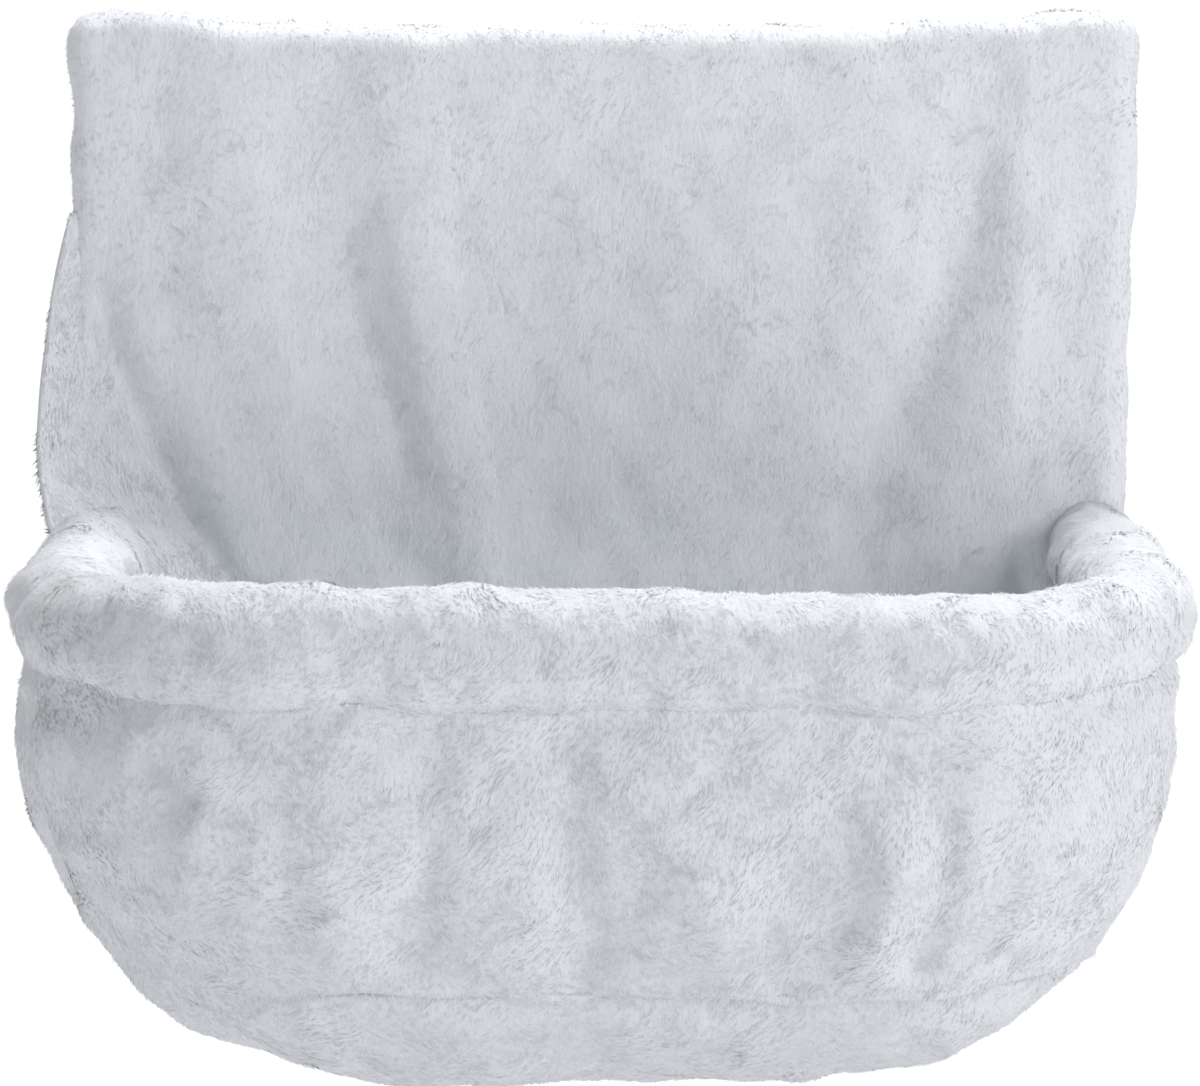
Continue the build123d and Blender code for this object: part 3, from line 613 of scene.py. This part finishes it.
wall_folds = (
    (((-168, -199), (-152, -214), (-140, -221)), 6.0, -4.0, 0.3, 0.3),
    (((-172, -190), (-150, -202), (-128, -214)), 8.0, 3.0, 0.3, 0.4),
    (((-61, -215), (-62, -240), (-69, -262)), 6.0, -1.6, 0.3, 0.3),
    (((-12, -210), (-8, -250), (-4, -292)), 10.0, -1.6, 0.3, 0.1),
    (((18, -212), (34, -245), (52, -276)), 9.0, 1.4, 0.3, 0.2),
    (((98, -214), (104, -250), (98, -288)), 8.0, 1.8, 0.3, 0.1),
    (((122, -208), (124, -250), (112, -294)), 8.0, -4.0, 0.3, 0.1),
    (((160, -205), (164, -240), (150, -285)), 10.0, 2.0, 0.3, 0.1),
)
side_folds = (
    # line of corners (way along the D in millimetres from the front's middle, z)
    (((-232, -190), (-226, -215), (-222, -285)), 8.0, -5.5, 0.15, 0.2),
    (((-262, -188), (-258, -230), (-250, -285)), 12.0, 3.4, 0.2, 0.2),
    (((-205, -190), (-200, -220), (-190, -270)), 12.0, 2.6, 0.2, 0.3),
    (((236, -190), (240, -225), (236, -280)), 10.0, -3.0, 0.2, 0.2),
    (((268, -190), (270, -230), (262, -280)), 12.0, 2.4, 0.2, 0.2),
    (((300, -190), (298, -230), (290, -285)), 10.0, -2.8, 0.2, 0.2),
    (((-306, -190), (-300, -230), (-292, -285)), 10.0, -2.8, 0.2, 0.2),
)


def at_level(flat, level):
    """Points of a plan set at a level."""
    return np.concatenate([flat, np.full((len(flat), 1), level)], 1)


def wall_outline(level, inset):
    """Half width and front of the bowl at each level below the hoop."""
    fall = (hoop_z - level) / (hoop_z - seam_z)
    fine = np.linspace(0, 1, 101)
    kernel = np.exp(-np.linspace(-2, 2, 21) ** 2)
    kernel /= kernel.sum()

    def eased(shares):
        raw = np.interp(fine, wall_levels, shares)
        padded = np.concatenate([np.full(10, raw[0]), raw, raw[-1] + (raw[-1] - raw[-2]) * np.arange(1, 11)])
        return np.interp(fall, fine, np.convolve(padded, kernel, "valid"))

    half = wall_high[0] - bowl_tuck * eased(bowl_half_shares) - inset - pile_rise
    front = wall_low[1] + bowl_tuck * eased(bowl_front_shares) + inset + pile_rise
    return half, front


def seam_wave(x):
    """How the seam between wall and floor wanders up and down along the front."""
    return 1.3 * np.sin(x / 23.0) + 0.9 * np.sin(x / 9.7 + 1.0) - 1.5 * smooth((x + 40) / 120)


def pleats(way):
    """Small gathers along a seam, unevenly spaced."""
    return np.sin(way / 9.0 + 1.5 * np.sin(way / 31.0))


def wall_grid(inset, top_angle, top_radius, with_folds=1.0, bottom=None):
    """Bowl wall from the rim down to its seam with the floor."""
    line, outward, share = hoop_line(wall_columns, wall_start_y)
    top = around_hoop(line, outward, top_radius(share)[:, None], top_angle(share)[:, None])[:, 0]
    bottom = seam_z if bottom is None else bottom
    rows = []
    wave = seam_wave(line[:, 0] * 1.05) * with_folds
    for t in np.linspace(0, 1, wall_rows):
        level = top[:, 2] + (bottom - top[:, 2]) * t + wave * smooth((t - 0.5) * 2)
        half, front = wall_outline(level, inset)
        flat = d_points(share, half, front, bowl_corner - inset)
        lead = np.sin(np.clip(t / 0.13, 0, 1) * pi / 2) ** 0.8
        flat = top[:, :2] * (1 - lead) + flat * lead
        rows.append(np.concatenate([flat, level[:, None]], 1))
    grid = np.stack(rows)
    out = np.broadcast_to(np.concatenate([outward, np.zeros((wall_columns, 1))], 1), grid.shape)
    way = np.broadcast_to((share - 0.5) * d_lengths(wall_start_y)[-1], grid.shape[:2])
    front_face = smooth(-out[..., 1] * 1.6)
    rise = folds(np.stack([grid[..., 0], grid[..., 2]], -1), wall_folds) * front_face
    rise += 0.75 * arched(grid[..., 0], grid[..., 2], **wall_arcs) * front_face
    rise += folds(np.stack([way, grid[..., 2]], -1), side_folds)
    rise += 1.1 * lumps(grid, 60.0, 41) + 0.5 * lumps(grid, 24.0, 42)
    t = np.linspace(0, 1, wall_rows)[:, None]
    rise *= smooth(t / 0.12) * (0.35 + 0.65 * smooth((1 - t) / 0.12)) * with_folds
    pleat = pleat_depth * pleats(way) * smooth((t - 0.8) / 0.2) * with_folds
    return grid + out * (rise + pleat)[..., None]


def d_points(share, half, front, corner):
    """Points of a D outline at shares of the way along the hoop, each with its own size."""
    straight, arc, across, total = d_lengths(wall_start_y)
    points = np.zeros((len(share), 2))
    for i, part in enumerate(share):
        mirrored = part > 0.5
        d = (1 - part if mirrored else part) * total
        h, f = half[i], front[i]
        if d < straight:
            p = (-h, wall_start_y + (f + corner - wall_start_y) * d / straight)
        elif d < straight + arc:
            turn = (d - straight) / hoop_corner
            p = (-h + corner - corner * cos(turn), f + corner - corner * sin(turn))
        else:
            p = ((-h + corner) * (1 - (d - straight - arc) / (across / 2)), f)
        points[i] = (-p[0], p[1]) if mirrored else p
    return points


def floor_grid(inset, top_z, drop):
    """Sagging floor of the bowl: rings from its seam in to its lowest place."""
    share = hoop_line(wall_columns, wall_start_y)[2]
    half, front = wall_outline(np.full(wall_columns, seam_z), inset)
    edge = d_points(share, half, front, bowl_corner - inset)
    back = np.linspace(edge[-1], edge[0], back_points + 2)[1:-1]
    loop = np.concatenate([edge, back])
    from_middle = loop - floor_middle
    low = floor_middle + floor_level_half * from_middle / np.abs(from_middle).max(0)
    rows = []
    for k in np.linspace(0, 1, floor_rings):
        spread = 1 - k**1.25
        level = (1 - spread**2) ** 0.68
        rows.append(at_level(low + (loop - low) * spread, top_z - drop * level))
    for k in (0.66, 0.33, 0.0):
        rows.append(at_level(floor_middle + (low - floor_middle) * k, top_z - drop))
    grid = np.stack(rows)
    soft = 1.2 * lumps(grid, 70.0, 51) + 0.5 * lumps(grid, 25.0, 52)
    t = np.linspace(0, 1, len(rows))[:, None]
    way = np.linspace(0, len(loop) * floor_point_gap, len(loop))[None]
    pleat = pleats(way) * smooth(1 - t / 0.2) * smooth(t / 0.02)
    grid[..., 2] -= (soft + pleat) * smooth(t / 0.1)
    return grid


def way_along(line):
    """How far along a line each of its points lies."""
    return np.concatenate([[0], np.cumsum(np.linalg.norm(np.diff(line, axis=0), axis=1))])


def smooth_line(corners, count, rounds=6):
    """Evenly spaced points along a soft line through chosen corners."""
    corners = np.array(corners, float)
    way = way_along(corners)
    fine = np.linspace(0, way[-1], count)
    line = np.stack([np.interp(fine, way, corners[:, k]) for k in range(corners.shape[1])], -1)
    for _ in range(rounds):
        line[1:-1] = (line[:-2] + 2 * line[1:-1] + line[2:]) / 4
    return line


# Side gussets, each from its line on the panel to its line on the rim
gusset_rows = 70
gusset_columns = 44
web_slack = 5.0
gusset_lines = {
    "left": (
        ((-211, -36, -28), (-207, -36, -58), (-199, -37, -88), (-186, -37, -124), (-168, -37, -152),
         (-150, -37, -180), (-158, -37, -204), (-184, -36, -238)),
        ((-214, -37, -28), (-219, -46, -60), (-223, -57, -92), (-225, -68, -124), (-217, -86, -157),
         (-203, -102, -151), (-188, -112, -160), (-187, -96, -196), (-193, -56, -238)),
    ),
    "right": (
        ((187, -37, -174), (190, -37, -188), (193, -37, -204), (197, -37, -220), (200, -36, -238)),
        ((187, -39, -175), (185, -54, -178), (185, -68, -182), (188, -76, -191), (193, -74, -203),
         (198, -60, -220), (201, -46, -238)),
    ),
}


def gusset_grid(hand):
    """Slack web of plush between the panel's side and the rim."""
    on_panel, on_rim = (smooth_line(corners, gusset_rows) for corners in gusset_lines[hand])
    share = np.linspace(0, 1, gusset_columns)[None, :, None]
    grid = on_panel[:, None] * (1 - share) + on_rim[:, None] * share
    hollow = np.sin(pi * share[..., 0]) * np.sin(pi * np.linspace(0, 1, gusset_rows))[:, None] ** 0.7
    side = 1 if hand == "right" else -1
    grid[..., 0] += side * web_slack * hollow
    grid += grid_normals(grid) * (1.2 * lumps(grid, 38.0, 61) * hollow)[..., None]
    return grid if hand == "right" else grid[:, ::-1]


def tube_grid(radius, start_y, steps=220, sides=40):
    """Plain tube along the hoop."""
    line, outward, _ = hoop_line(steps, start_y)
    return around_hoop(line, outward, radius, np.linspace(0, tau, sides, endpoint=False)[None])


def plate_with_holes(name, x_lines, z_lines, holes, place, thickness, material):
    """A closed flat piece with square holes; place gives the points of its rear face."""
    x_lines = np.unique(np.round(x_lines, 3))
    z_lines = np.unique(np.round(z_lines, 3))
    x, z = np.meshgrid(x_lines, z_lines)
    rear = place(x, z)
    front = rear - np.array([0, thickness, 0])
    rows, columns = x.shape
    solid = np.ones((rows - 1, columns - 1), bool)
    middle_x = (x[:-1, :-1] + x[1:, 1:]) / 2
    middle_z = (z[:-1, :-1] + z[1:, 1:]) / 2
    for x0, x1, z0, z1 in holes:
        solid &= ~((middle_x > x0) & (middle_x < x1) & (middle_z > z0) & (middle_z < z1))
    index = np.arange(rows * columns).reshape(rows, columns)
    count = rows * columns
    a, b, c, d = index[:-1, :-1], index[:-1, 1:], index[1:, 1:], index[1:, :-1]
    faces = [np.stack([a, d, c, b], -1)[solid], np.stack([a, b, c, d], -1)[solid] + count]
    edge = np.pad(solid, 1)
    for shift, first, second in (((0, 1), a, b), ((2, 1), c, d), ((1, 0), d, a), ((1, 2), b, c)):
        open_side = solid & ~edge[shift[0] : shift[0] + rows - 1, shift[1] : shift[1] + columns - 1]
        p, q = first[open_side], second[open_side]
        faces.append(np.stack([p, q, q + count, p + count], -1))
    points = np.concatenate([rear.reshape(-1, 3), front.reshape(-1, 3)])
    piece = make_mesh(name, points, np.concatenate(faces), material, smooth_shaded=False)

    def drop_loose(work):
        bmesh.ops.delete(work, geom=[v for v in work.verts if not v.link_faces], context="VERTS")

    return edit_mesh(piece, drop_loose)


def stitch_row(name, lines, material, pitch=4.6, length=3.4, thread=0.55):
    """Thread stitches along lines of points, each line with its directions out of the cloth."""
    points, faces = [], []
    for line, lift in lines:
        way = way_along(line)
        for at in np.arange(pitch / 2, way[-1], pitch):
            middle, ahead, out = (
                np.array([np.interp(place, way, values[:, k]) for k in range(3)])
                for place, values in ((at, line), (at + 0.5, line), (at, lift))
            )
            run = ahead - middle
            run /= max(np.linalg.norm(run), 1e-9)
            side = np.cross(out, run)
            start = len(points)
            points += [
                middle - run * length / 2 - out * 0.3, middle + side * thread, middle + out * thread,
                middle - side * thread, middle - out * thread, middle + run * length / 2 - out * 0.3,
            ]
            for k in range(4):
                one, two = 1 + k, 1 + (k + 1) % 4
                faces += [[start, start + two, start + one], [start + 5, start + one, start + two]]
    return make_mesh(name, points, faces, material)


def pad_mesh(name, node, material, hole_radius=3.6, pocket_radius=7.0, pocket_depth=3.5):
    """Foam pad with rounded edges, a hole for the clamp's stud and a pocket above it for the nut."""
    low, high = node_box(node)
    stud_low, stud_high = node_box(node.replace("seat_pad", "clamp_stud"))
    hole = (stud_low[:2] + stud_high[:2]) / 2
    middle, half = (low[:2] + high[:2]) / 2, (high[:2] - low[:2]) / 2
    sides = 96
    turn = np.linspace(0, tau, sides, endpoint=False)
    ray = np.stack([np.cos(turn), np.sin(turn)], -1)
    corner = 3.0
    outline = []
    for direction in ray:
        reach = 200.0
        for k in range(2):
            if abs(direction[k]) > 1e-9:
                wall = middle[k] + np.sign(direction[k]) * half[k]
                reach = min(reach, (wall - hole[k]) / direction[k])
        outline.append(hole + direction * reach)
    outline = np.array(outline)
    inner = np.clip(outline, middle - half + corner, middle + half - corner)
    away = outline - inner
    size = np.maximum(np.linalg.norm(away, axis=1, keepdims=True), 1e-9)
    outline = inner + away / size * np.minimum(size, corner)
    thick = high[2] - low[2]
    # Share of the way out, inset and level of each ring, with the outer edges rounded by 1 mm
    stations = [(share, 0, 0.0) for share in (0.0, 0.3, 0.6, 0.85)]
    for start, rise in ((0, 1), (pi / 2, thick - 1)):
        turns = np.linspace(start, start + pi / 2, 5)
        stations += [(1.0, sin(angle) - 1, rise - cos(angle)) for angle in turns]
    stations += [(share, 0, thick) for share in (0.85, 0.6, 0.3)]
    rings = []
    for share, inset, level in stations:
        base = hole_radius if level < thick / 2 else pocket_radius
        start = hole + ray * base
        ring = start + (outline - start) * share + ray * inset
        rings.append(at_level(ring, low[2] + level))
    for radius, level in (
        (pocket_radius, thick), (pocket_radius, thick - pocket_depth), (hole_radius, thick - pocket_depth)
    ):
        rings.append(at_level(hole + ray * radius, low[2] + level))
    grid = np.stack(rings)
    rows, columns = grid.shape[:2]
    faces = grid_faces(rows, columns, loop_rows=True, loop_columns=True)
    return make_mesh(name, grid.reshape(-1, 3), faces, material)


def grained(name, low, high, grain, depth, settings):
    """A surface with a fine grain: two near colours mixed at the grain's size, and a bump of its depth."""
    material, tree = new_material(name)
    place = add_node(tree, "ShaderNodeNewGeometry")
    size = {"Scale": 1 / (grain * MM), "Detail": 3.0}
    noise = add_node(tree, "ShaderNodeTexNoise", size, {"Vector": (place, "Position")})
    ramp = two_tones(tree, (noise, "Fac"), (0.35, low), (0.65, high))
    textured(tree, settings, ramp, (noise, "Fac"), 1.0, depth)
    return material


def woven(name, colour, shade, thread, settings):
    """Plain weave: threads over and under each other, drawn at the thread's spacing."""
    material, tree = new_material(name)
    place = add_node(tree, "ShaderNodeNewGeometry")
    waves = [
        add_node(
            tree,
            "ShaderNodeTexWave",
            {"Scale": 0.314 / (thread * MM), "bands_direction": way, "Distortion": 0.6, "Detail": 1.0},
            {"Vector": (place, "Position")},
        )
        for way in ("X", "Z")
    ]
    over = add_node(tree, "ShaderNodeMath", {"operation": "MAXIMUM"})
    tree.links.new(waves[0].outputs["Fac"], over.inputs[0])
    tree.links.new(waves[1].outputs["Fac"], over.inputs[1])
    # Between the threads the colour darkens to the shade tone: painted shade in the gaps of the weave
    ramp = two_tones(tree, (over, "Value"), (0.3, shade), (0.95, colour))
    textured(tree, settings, ramp, (over, "Value"), 0.6, 0.25 * thread)
    return material


def hard_finishes():
    """Finishes of the frame's hard pieces, by the record's slot."""
    return {
        # Powder coat, sprayed and baked: satin, with the slight dimples of orange peel
        "white_steel": grained(
            "powder_coated_steel_satin", "DCDCDA", "E6E6E4", 1.1, 0.03, {"Roughness": 0.42, "IOR": 1.5}
        ),
        # Polypropylene, moulded and lightly spark-textured: soft highlights
        "moulded_elbow": grained(
            "polypropylene_moulded", "D6D6D5", "E0E0DF", 0.5, 0.02, {"Roughness": 0.5, "IOR": 1.49}
        ),
        # Zinc plate, bright passivated: cool and slightly blotched
        "zinc_steel": grained(
            "steel_zinc_plated", "A9ADB2", "C4C7CA", 1.6, 0.008, {"Metallic": 1.0, "Roughness": 0.3}
        ),
        # Spring steel, blued in tempering and left plain
        "spring_steel": grained(
            "spring_steel_tempered", "74767A", "8E9094", 0.8, 0.006, {"Metallic": 1.0, "Roughness": 0.35}
        ),
        # Nylon, moulded: an even off white, satin from handling
        "clamp_knob": grained(
            "nylon_moulded", "D2D2D0", "DEDEDC", 0.7, 0.025, {"Roughness": 0.46, "IOR": 1.53}
        ),
        # Soft vinyl, dipped: smooth with a low gloss
        "soft_sleeve": grained("soft_vinyl_dipped", "D4D5D6", "DEDFE0", 2.5, 0.03, {"Roughness": 0.38}),
        # Rubber, moulded: matt, with a fine bloom
        "bumper_rubber": grained("rubber_moulded", "B0B1B3", "BDBEC0", 0.6, 0.03, {"Roughness": 0.72}),
    }


def keep(piece, slot, *replaced, body="root"):
    """Puts a finished piece on its body and hides the frame nodes that it stands for; its finish is not
    used.
    """
    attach(piece, body)
    if replaced:
        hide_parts(*replaced)
    return piece


# Tufts of each pile, by piece
tuft_counts = {"cover": 47000, "rim": 47000, "wall": 47000, "floor": 38000, "lining": 34000, "web": 9000}


def plush_sheet(name, node, grid, pile_name, tufts, seed, closed=False, piled=None):
    """A sheet of plush and the pile on it; closed joins its ends, and piled is the rows with pile."""
    sheet = cloth_piece(name, grid, cloth, plush, loop_columns=closed)
    if piled:
        weld(sheet)
    keep(sheet, "plush", node)
    rows = grid[piled] if piled else grid
    pile = pile_piece(pile_name, rows, tuft_counts[tufts], tips, seed, loop_columns=closed)
    return sheet, keep(pile, "plush")


cover_grid = back_cover_grid()[::-1]
cover, pile = plush_sheet("back_cover", "back_panel", cover_grid, "back_cover_pile", "cover", 100)

sleeve, sleeve_pile = plush_sheet(
    "rim_plush_sleeve", "rim_sleeve", rim_grid(), "rim_pile", "rim", 200, closed=True
)
seam_turn = 0.16
outer_wall = wall_grid(
    0.0, lambda share: rim_seam(share) + seam_turn, lambda share: seam_radius(share) - cloth
)
wall, pile = plush_sheet("bowl_outer_wall", "bowl_wall", outer_wall, "bowl_wall_pile", "wall", 300)

floor_top = seam_z + 1.5
floor_drop = floor_top - floor_z - 4.0
outer_floor = floor_grid(0.6, floor_top, floor_drop)
floor, pile = plush_sheet(
    "bowl_outer_floor", "bowl_floor", outer_floor, "bowl_floor_pile", "floor", 400,
    closed=True, piled=slice(0, -1),
)

lining_inset = 9.5
lining_low = seam_z + 2
inner_wall = wall_grid(
    lining_inset,
    lambda share: np.full_like(share, radians(-128)),
    lambda share: np.full_like(share, rim_radius - 3.5),
    with_folds=0.4,
    bottom=lining_low,
)[::-1]
lining, pile = plush_sheet(
    "bowl_inner_wall", "bowl_lining", inner_wall, "bowl_inner_wall_pile", "lining", 500
)

padding = 18.0
inner_floor = floor_grid(lining_inset, lining_low, lining_low - floor_z - padding)[::-1]
bed, pile = plush_sheet(
    "bowl_inner_floor", "floor_lining", inner_floor, "bowl_inner_floor_pile", "lining", 600,
    closed=True, piled=slice(1, None),
)

for hand in ("left", "right"):
    web_grid = gusset_grid(hand)
    web = keep(cloth_piece(f"side_web_{hand}", web_grid, cloth, plush), "plush", f"side_gusset_{hand}")
    behind = (web_grid - grid_normals(web_grid) * cloth)[:, ::-1]
    piles = [
        keep(pile_piece(f"side_web_{hand}_pile_{face}", grid, tuft_counts["web"], tips, seed), "plush")
        for face, grid, seed in (("inner", web_grid, 700), ("outer", behind, 720))
    ]

# Polyurethane foam, cut from a block: open cells, off white
foam = grained("polyurethane_foam_cut", "C9C9C2", "DCDCD6", 1.2, 0.5, {"Roughness": 0.95})
# Polyester wadding, carded and lofted: soft and cloudy
wadding = grained(
    "polyester_wadding_carded", "E4E4E3", "F0F0EF", 6.0, 1.2, {"Roughness": 0.98, "Sheen Weight": 0.3}
)
foam_radius, foam_wall = 15.7, 9.5
foam_grid = tube_grid(foam_radius, rim_start_y - 10)
foam_tube = cloth_piece("rim_foam_core", foam_grid, foam_wall, foam, loop_columns=True)
keep(foam_tube, "rim_padding", "rim_foam")
filling_clear = cloth + 1.2
filling_start = 22
filling_grid = floor_grid(lining_inset, floor_top, floor_drop)[filling_start:]
filling_grid[..., 2] += filling_clear
filling_room = inner_floor[::-1][filling_start:, :, 2] - filling_clear - filling_grid[..., 2]
filling_thickness = np.maximum(filling_room * 0.85, 0.8)[..., None]
filling = cloth_piece("floor_filling", filling_grid, filling_thickness, wadding, loop_columns=True)
keep(weld(filling), "wadding", "floor_wadding")

# Rear liner and the closure below it
# Polyester, woven plain and pressed: dull, with its threads just to be seen
liner_finish = {"Roughness": 0.8, "Sheen Weight": 0.15}
liner_cloth = woven("polyester_plain_weave", "D9DBE0", "B9BCC4", 0.9, liner_finish)
# Nylon tape, woven close: whiter and a little smoother than the liner
tape_cloth = woven("nylon_hook_tape_woven", "E0E0E2", "C2C3C6", 0.6, {"Roughness": 0.7})
# Polyester thread, spun: lighter than the cloth it lies on
thread_finish = {"Roughness": 0.6, "Sheen Weight": 0.2}
thread = grained("polyester_thread_spun", "E6E8EC", "F2F3F5", 0.4, 0.05, thread_finish)
bracket_top = node_box("hook_bracket_right")[1][2]
bumper_low, bumper_high = node_box("bumper_right")
liner_thick = 1.0
liner_inset = edge_roll - 2.0
slot_gap = 1.5
slot_half = 10.0 + slot_gap
strip_thick = 2.5
slot_bottom = bracket_top - strip_thick - slot_gap
slot_top = bracket_top + slot_gap
screw_hole = 2.6
bumper_z = (bumper_low[2] + bumper_high[2]) / 2


def liner_place(x, z):
    """Rear face of the liner: flat, a little uneven, and following the cover's top edge."""
    flat_below = 15
    stretch = smooth((z - flat_below) / (panel_high[2] - liner_inset - flat_below))
    level = z + (top_edge(x) - panel_high[2] + 1) * stretch
    spots = np.stack([x, 0 * x, 0.5 * z], -1)
    rear = liner_rear_y - 1.7 + 0.5 * lumps(spots, 70.0, 81) + 0.25 * lumps(spots, 26.0, 82)
    return np.stack([x, rear, level], -1)


liner_half = panel_high[0] - liner_inset
holes = [
    (side * hoop_half - half, side * hoop_half + half, bottom, top)
    for half, bottom, top in (
        (slot_half, slot_bottom, slot_top), (screw_hole, bumper_z - screw_hole, bumper_z + screw_hole)
    )
    for side in (-1, 1)
]
liner = plate_with_holes(
    "rear_cloth_liner",
    np.concatenate([np.linspace(-liner_half, liner_half, 110), [x for hole in holes for x in hole[:2]]]),
    np.concatenate(
        [
            np.linspace(panel_low[2] + 6, panel_high[2] - liner_inset, 92),
            [z for hole in holes for z in hole[2:]],
        ]
    ),
    holes, liner_place, liner_thick, liner_cloth,
)
keep(liner, "liner_cloth", "rear_liner")

flap_low, flap_high = node_box("closure_flap")


def flap_grid():
    """Flap that turns up behind the liner, its free edge a little uneven."""
    rows, columns = 26, 170
    profile = smooth_line(
        (
            (flap_low[1] + 0.5, flap_low[2] + 0.4),
            (flap_high[1] - 1.5, flap_low[2] + 0.4),
            (flap_high[1] - 0.5, flap_low[2] + 2.0),
            (flap_high[1] - 0.5, flap_high[2]),
        ),
        rows, rounds=2,
    )
    grid = np.zeros((rows, columns, 3))
    grid[..., 0] = np.linspace(flap_low[0], flap_high[0], columns)
    grid[..., 1:] = profile[:, None]
    free = smooth(np.linspace(0, 1, rows) - 0.4)[:, None]
    grid[..., 2] += 0.8 * lumps(grid, 60.0, 83) * free
    grid[..., 1] += 0.3 * lumps(grid, 30.0, 84) * free
    return grid


flap_cloth = 1.3
flap = cloth_piece("closure_plush_flap", flap_grid()[:, ::-1], flap_cloth, plush)
keep(flap, "plush", "closure_flap")
for node, name in (("closure_hook_strip", "closure_hook_tape"), ("closure_loop_strip", "closure_loop_tape")):
    low, high = node_box(node)
    x, z = np.meshgrid(np.linspace(low[0], high[0], 150), np.linspace(high[2], low[2], 10))
    flat = np.stack([x, np.full_like(x, high[1]), z], -1)[:, ::-1]
    tape = keep(cloth_piece(name, flat, high[1] - low[1], tape_cloth), "hook_tape", node)

# Thread along the seams
line, outward, share = hoop_line(rim_steps, rim_start_y)
seam_angle = rim_seam(share) + seam_turn
stitch_radius = (rim_radius - pile_rise - 0.6 + 5.0 * rim_front(share))[:, None]
out = np.stack(
    [outward[:, 0] * np.cos(seam_angle), outward[:, 1] * np.cos(seam_angle), np.sin(seam_angle)], -1
)
seam_line = at_level(line, hoop_z) + out * stitch_radius
keep(stitch_row("rim_topstitch", [(seam_line, out)], thread), "plush")
behind = np.array([[0, 1.0, 0]] * 2)
stitch_inset = 4
lower_stitch = 22
stitch_y = flap_high[1] - 0.2
rows = []
for level in (flap_high[2] - stitch_inset, flap_high[2] - lower_stitch):
    ends = [[flap_low[0] + stitch_inset, stitch_y, level], [flap_high[0] - stitch_inset, stitch_y, level]]
    rows.append((np.array(ends), behind))
keep(stitch_row("flap_topstitch", rows, thread, pitch=3.4, length=2.6, thread=0.3), "plush")

# Foam pads, cut from closed-cell sheet: dark, with fine closed pores
pad_foam = grained("closed_cell_foam_cut", "38383B", "4A4A4E", 0.9, 0.15, {"Roughness": 0.85})
for hand in ("left", "right"):
    node = f"seat_pad_{hand}"
    keep(pad_mesh(f"radiator_pad_{hand}", node, pad_foam), "pad_foam", node)

finishes = hard_finishes()
for row in frame["record"]["subparts"]:
    if row["material_slot"] in finishes:
        node = nodes[row["node"]]
        node.data.materials.clear()
        node.data.materials.append(finishes[row["material_slot"]])


def set_stage():
    """White room: a pale floor far below, soft even light, a large key from the right and one from above."""
    world = bpy.data.worlds.new("studio")
    bpy.context.scene.world = world
    world.use_nodes = True
    sky = world.node_tree.nodes["Background"].inputs
    sky["Color"].default_value = linear("F4F7FC")
    sky["Strength"].default_value = 0.215

    # Floor paint, matt, with a painted glow: dim below the bed and bright far off, where it makes the white
    # ground of the picture
    material, tree = new_material("matt_white_floor_paint_and_painted_glow")
    place = add_node(tree, "ShaderNodeNewGeometry")
    far = add_node(tree, "ShaderNodeVectorMath", {"operation": "LENGTH"}, {0: (place, "Position")})
    glow = add_node(
        tree, "ShaderNodeMapRange",
        {"From Min": 1.5, "From Max": 2.45, "To Min": 0.2, "To Max": 0.9}, {"Value": (far, "Value")},
    )
    paint = {"Base Color": linear("E4E5E7"), "Roughness": 0.9, "Emission Color": linear("FFFFFF")}
    surface(tree, paint, {"Emission Strength": (glow, "Result")})
    size = 200000.0
    floor_gap = 700
    below = floor_z - floor_gap
    corners = [(-size, -size, below), (size, -size, below), (size, size, below), (-size, size, below)]
    ground = make_mesh("studio_floor", corners, [[0, 1, 2, 3]], material)

    for name, place, power, width in (
        ("key", (1250, -1200, 480), 12.0, 900.0),
        ("fill", (-1300, -1300, 300), 1.0, 1400.0),
        ("top", (150, 250, 1300), 22.0, 900.0),
    ):
        lamp = bpy.data.lights.new(name, "AREA")
        lamp.energy = power
        lamp.shape = "DISK"
        lamp.size = width * MM
        light = bpy.data.objects.new(name, lamp)
        bpy.context.scene.collection.objects.link(light)
        light.location = Vector(place) * MM
        towards = Vector(aim) * MM - light.location
        light.rotation_euler = towards.to_track_quat("-Z", "Y").to_euler()


def set_camera():
    """Camera at the photograph's angle, for a frame of 1200 by 1086."""
    data = bpy.data.cameras.new("camera")
    data.sensor_width = sensor
    data.sensor_fit = "HORIZONTAL"
    data.lens = focal_pixels / photo_width * sensor
    camera = bpy.data.objects.new("camera", data)
    bpy.context.scene.collection.objects.link(camera)
    back = np.array([0.0, -cos(camera_elevation), sin(camera_elevation)])
    camera.location = Vector(aim + back * camera_distance) * MM
    camera.rotation_euler = Vector(-back).to_track_quat("-Z", "Y").to_euler()
    data.clip_start, data.clip_end = 0.05, 500.0
    bpy.context.scene.camera = camera
    bpy.context.scene.view_settings.view_transform = "Standard"


set_stage()
set_camera()
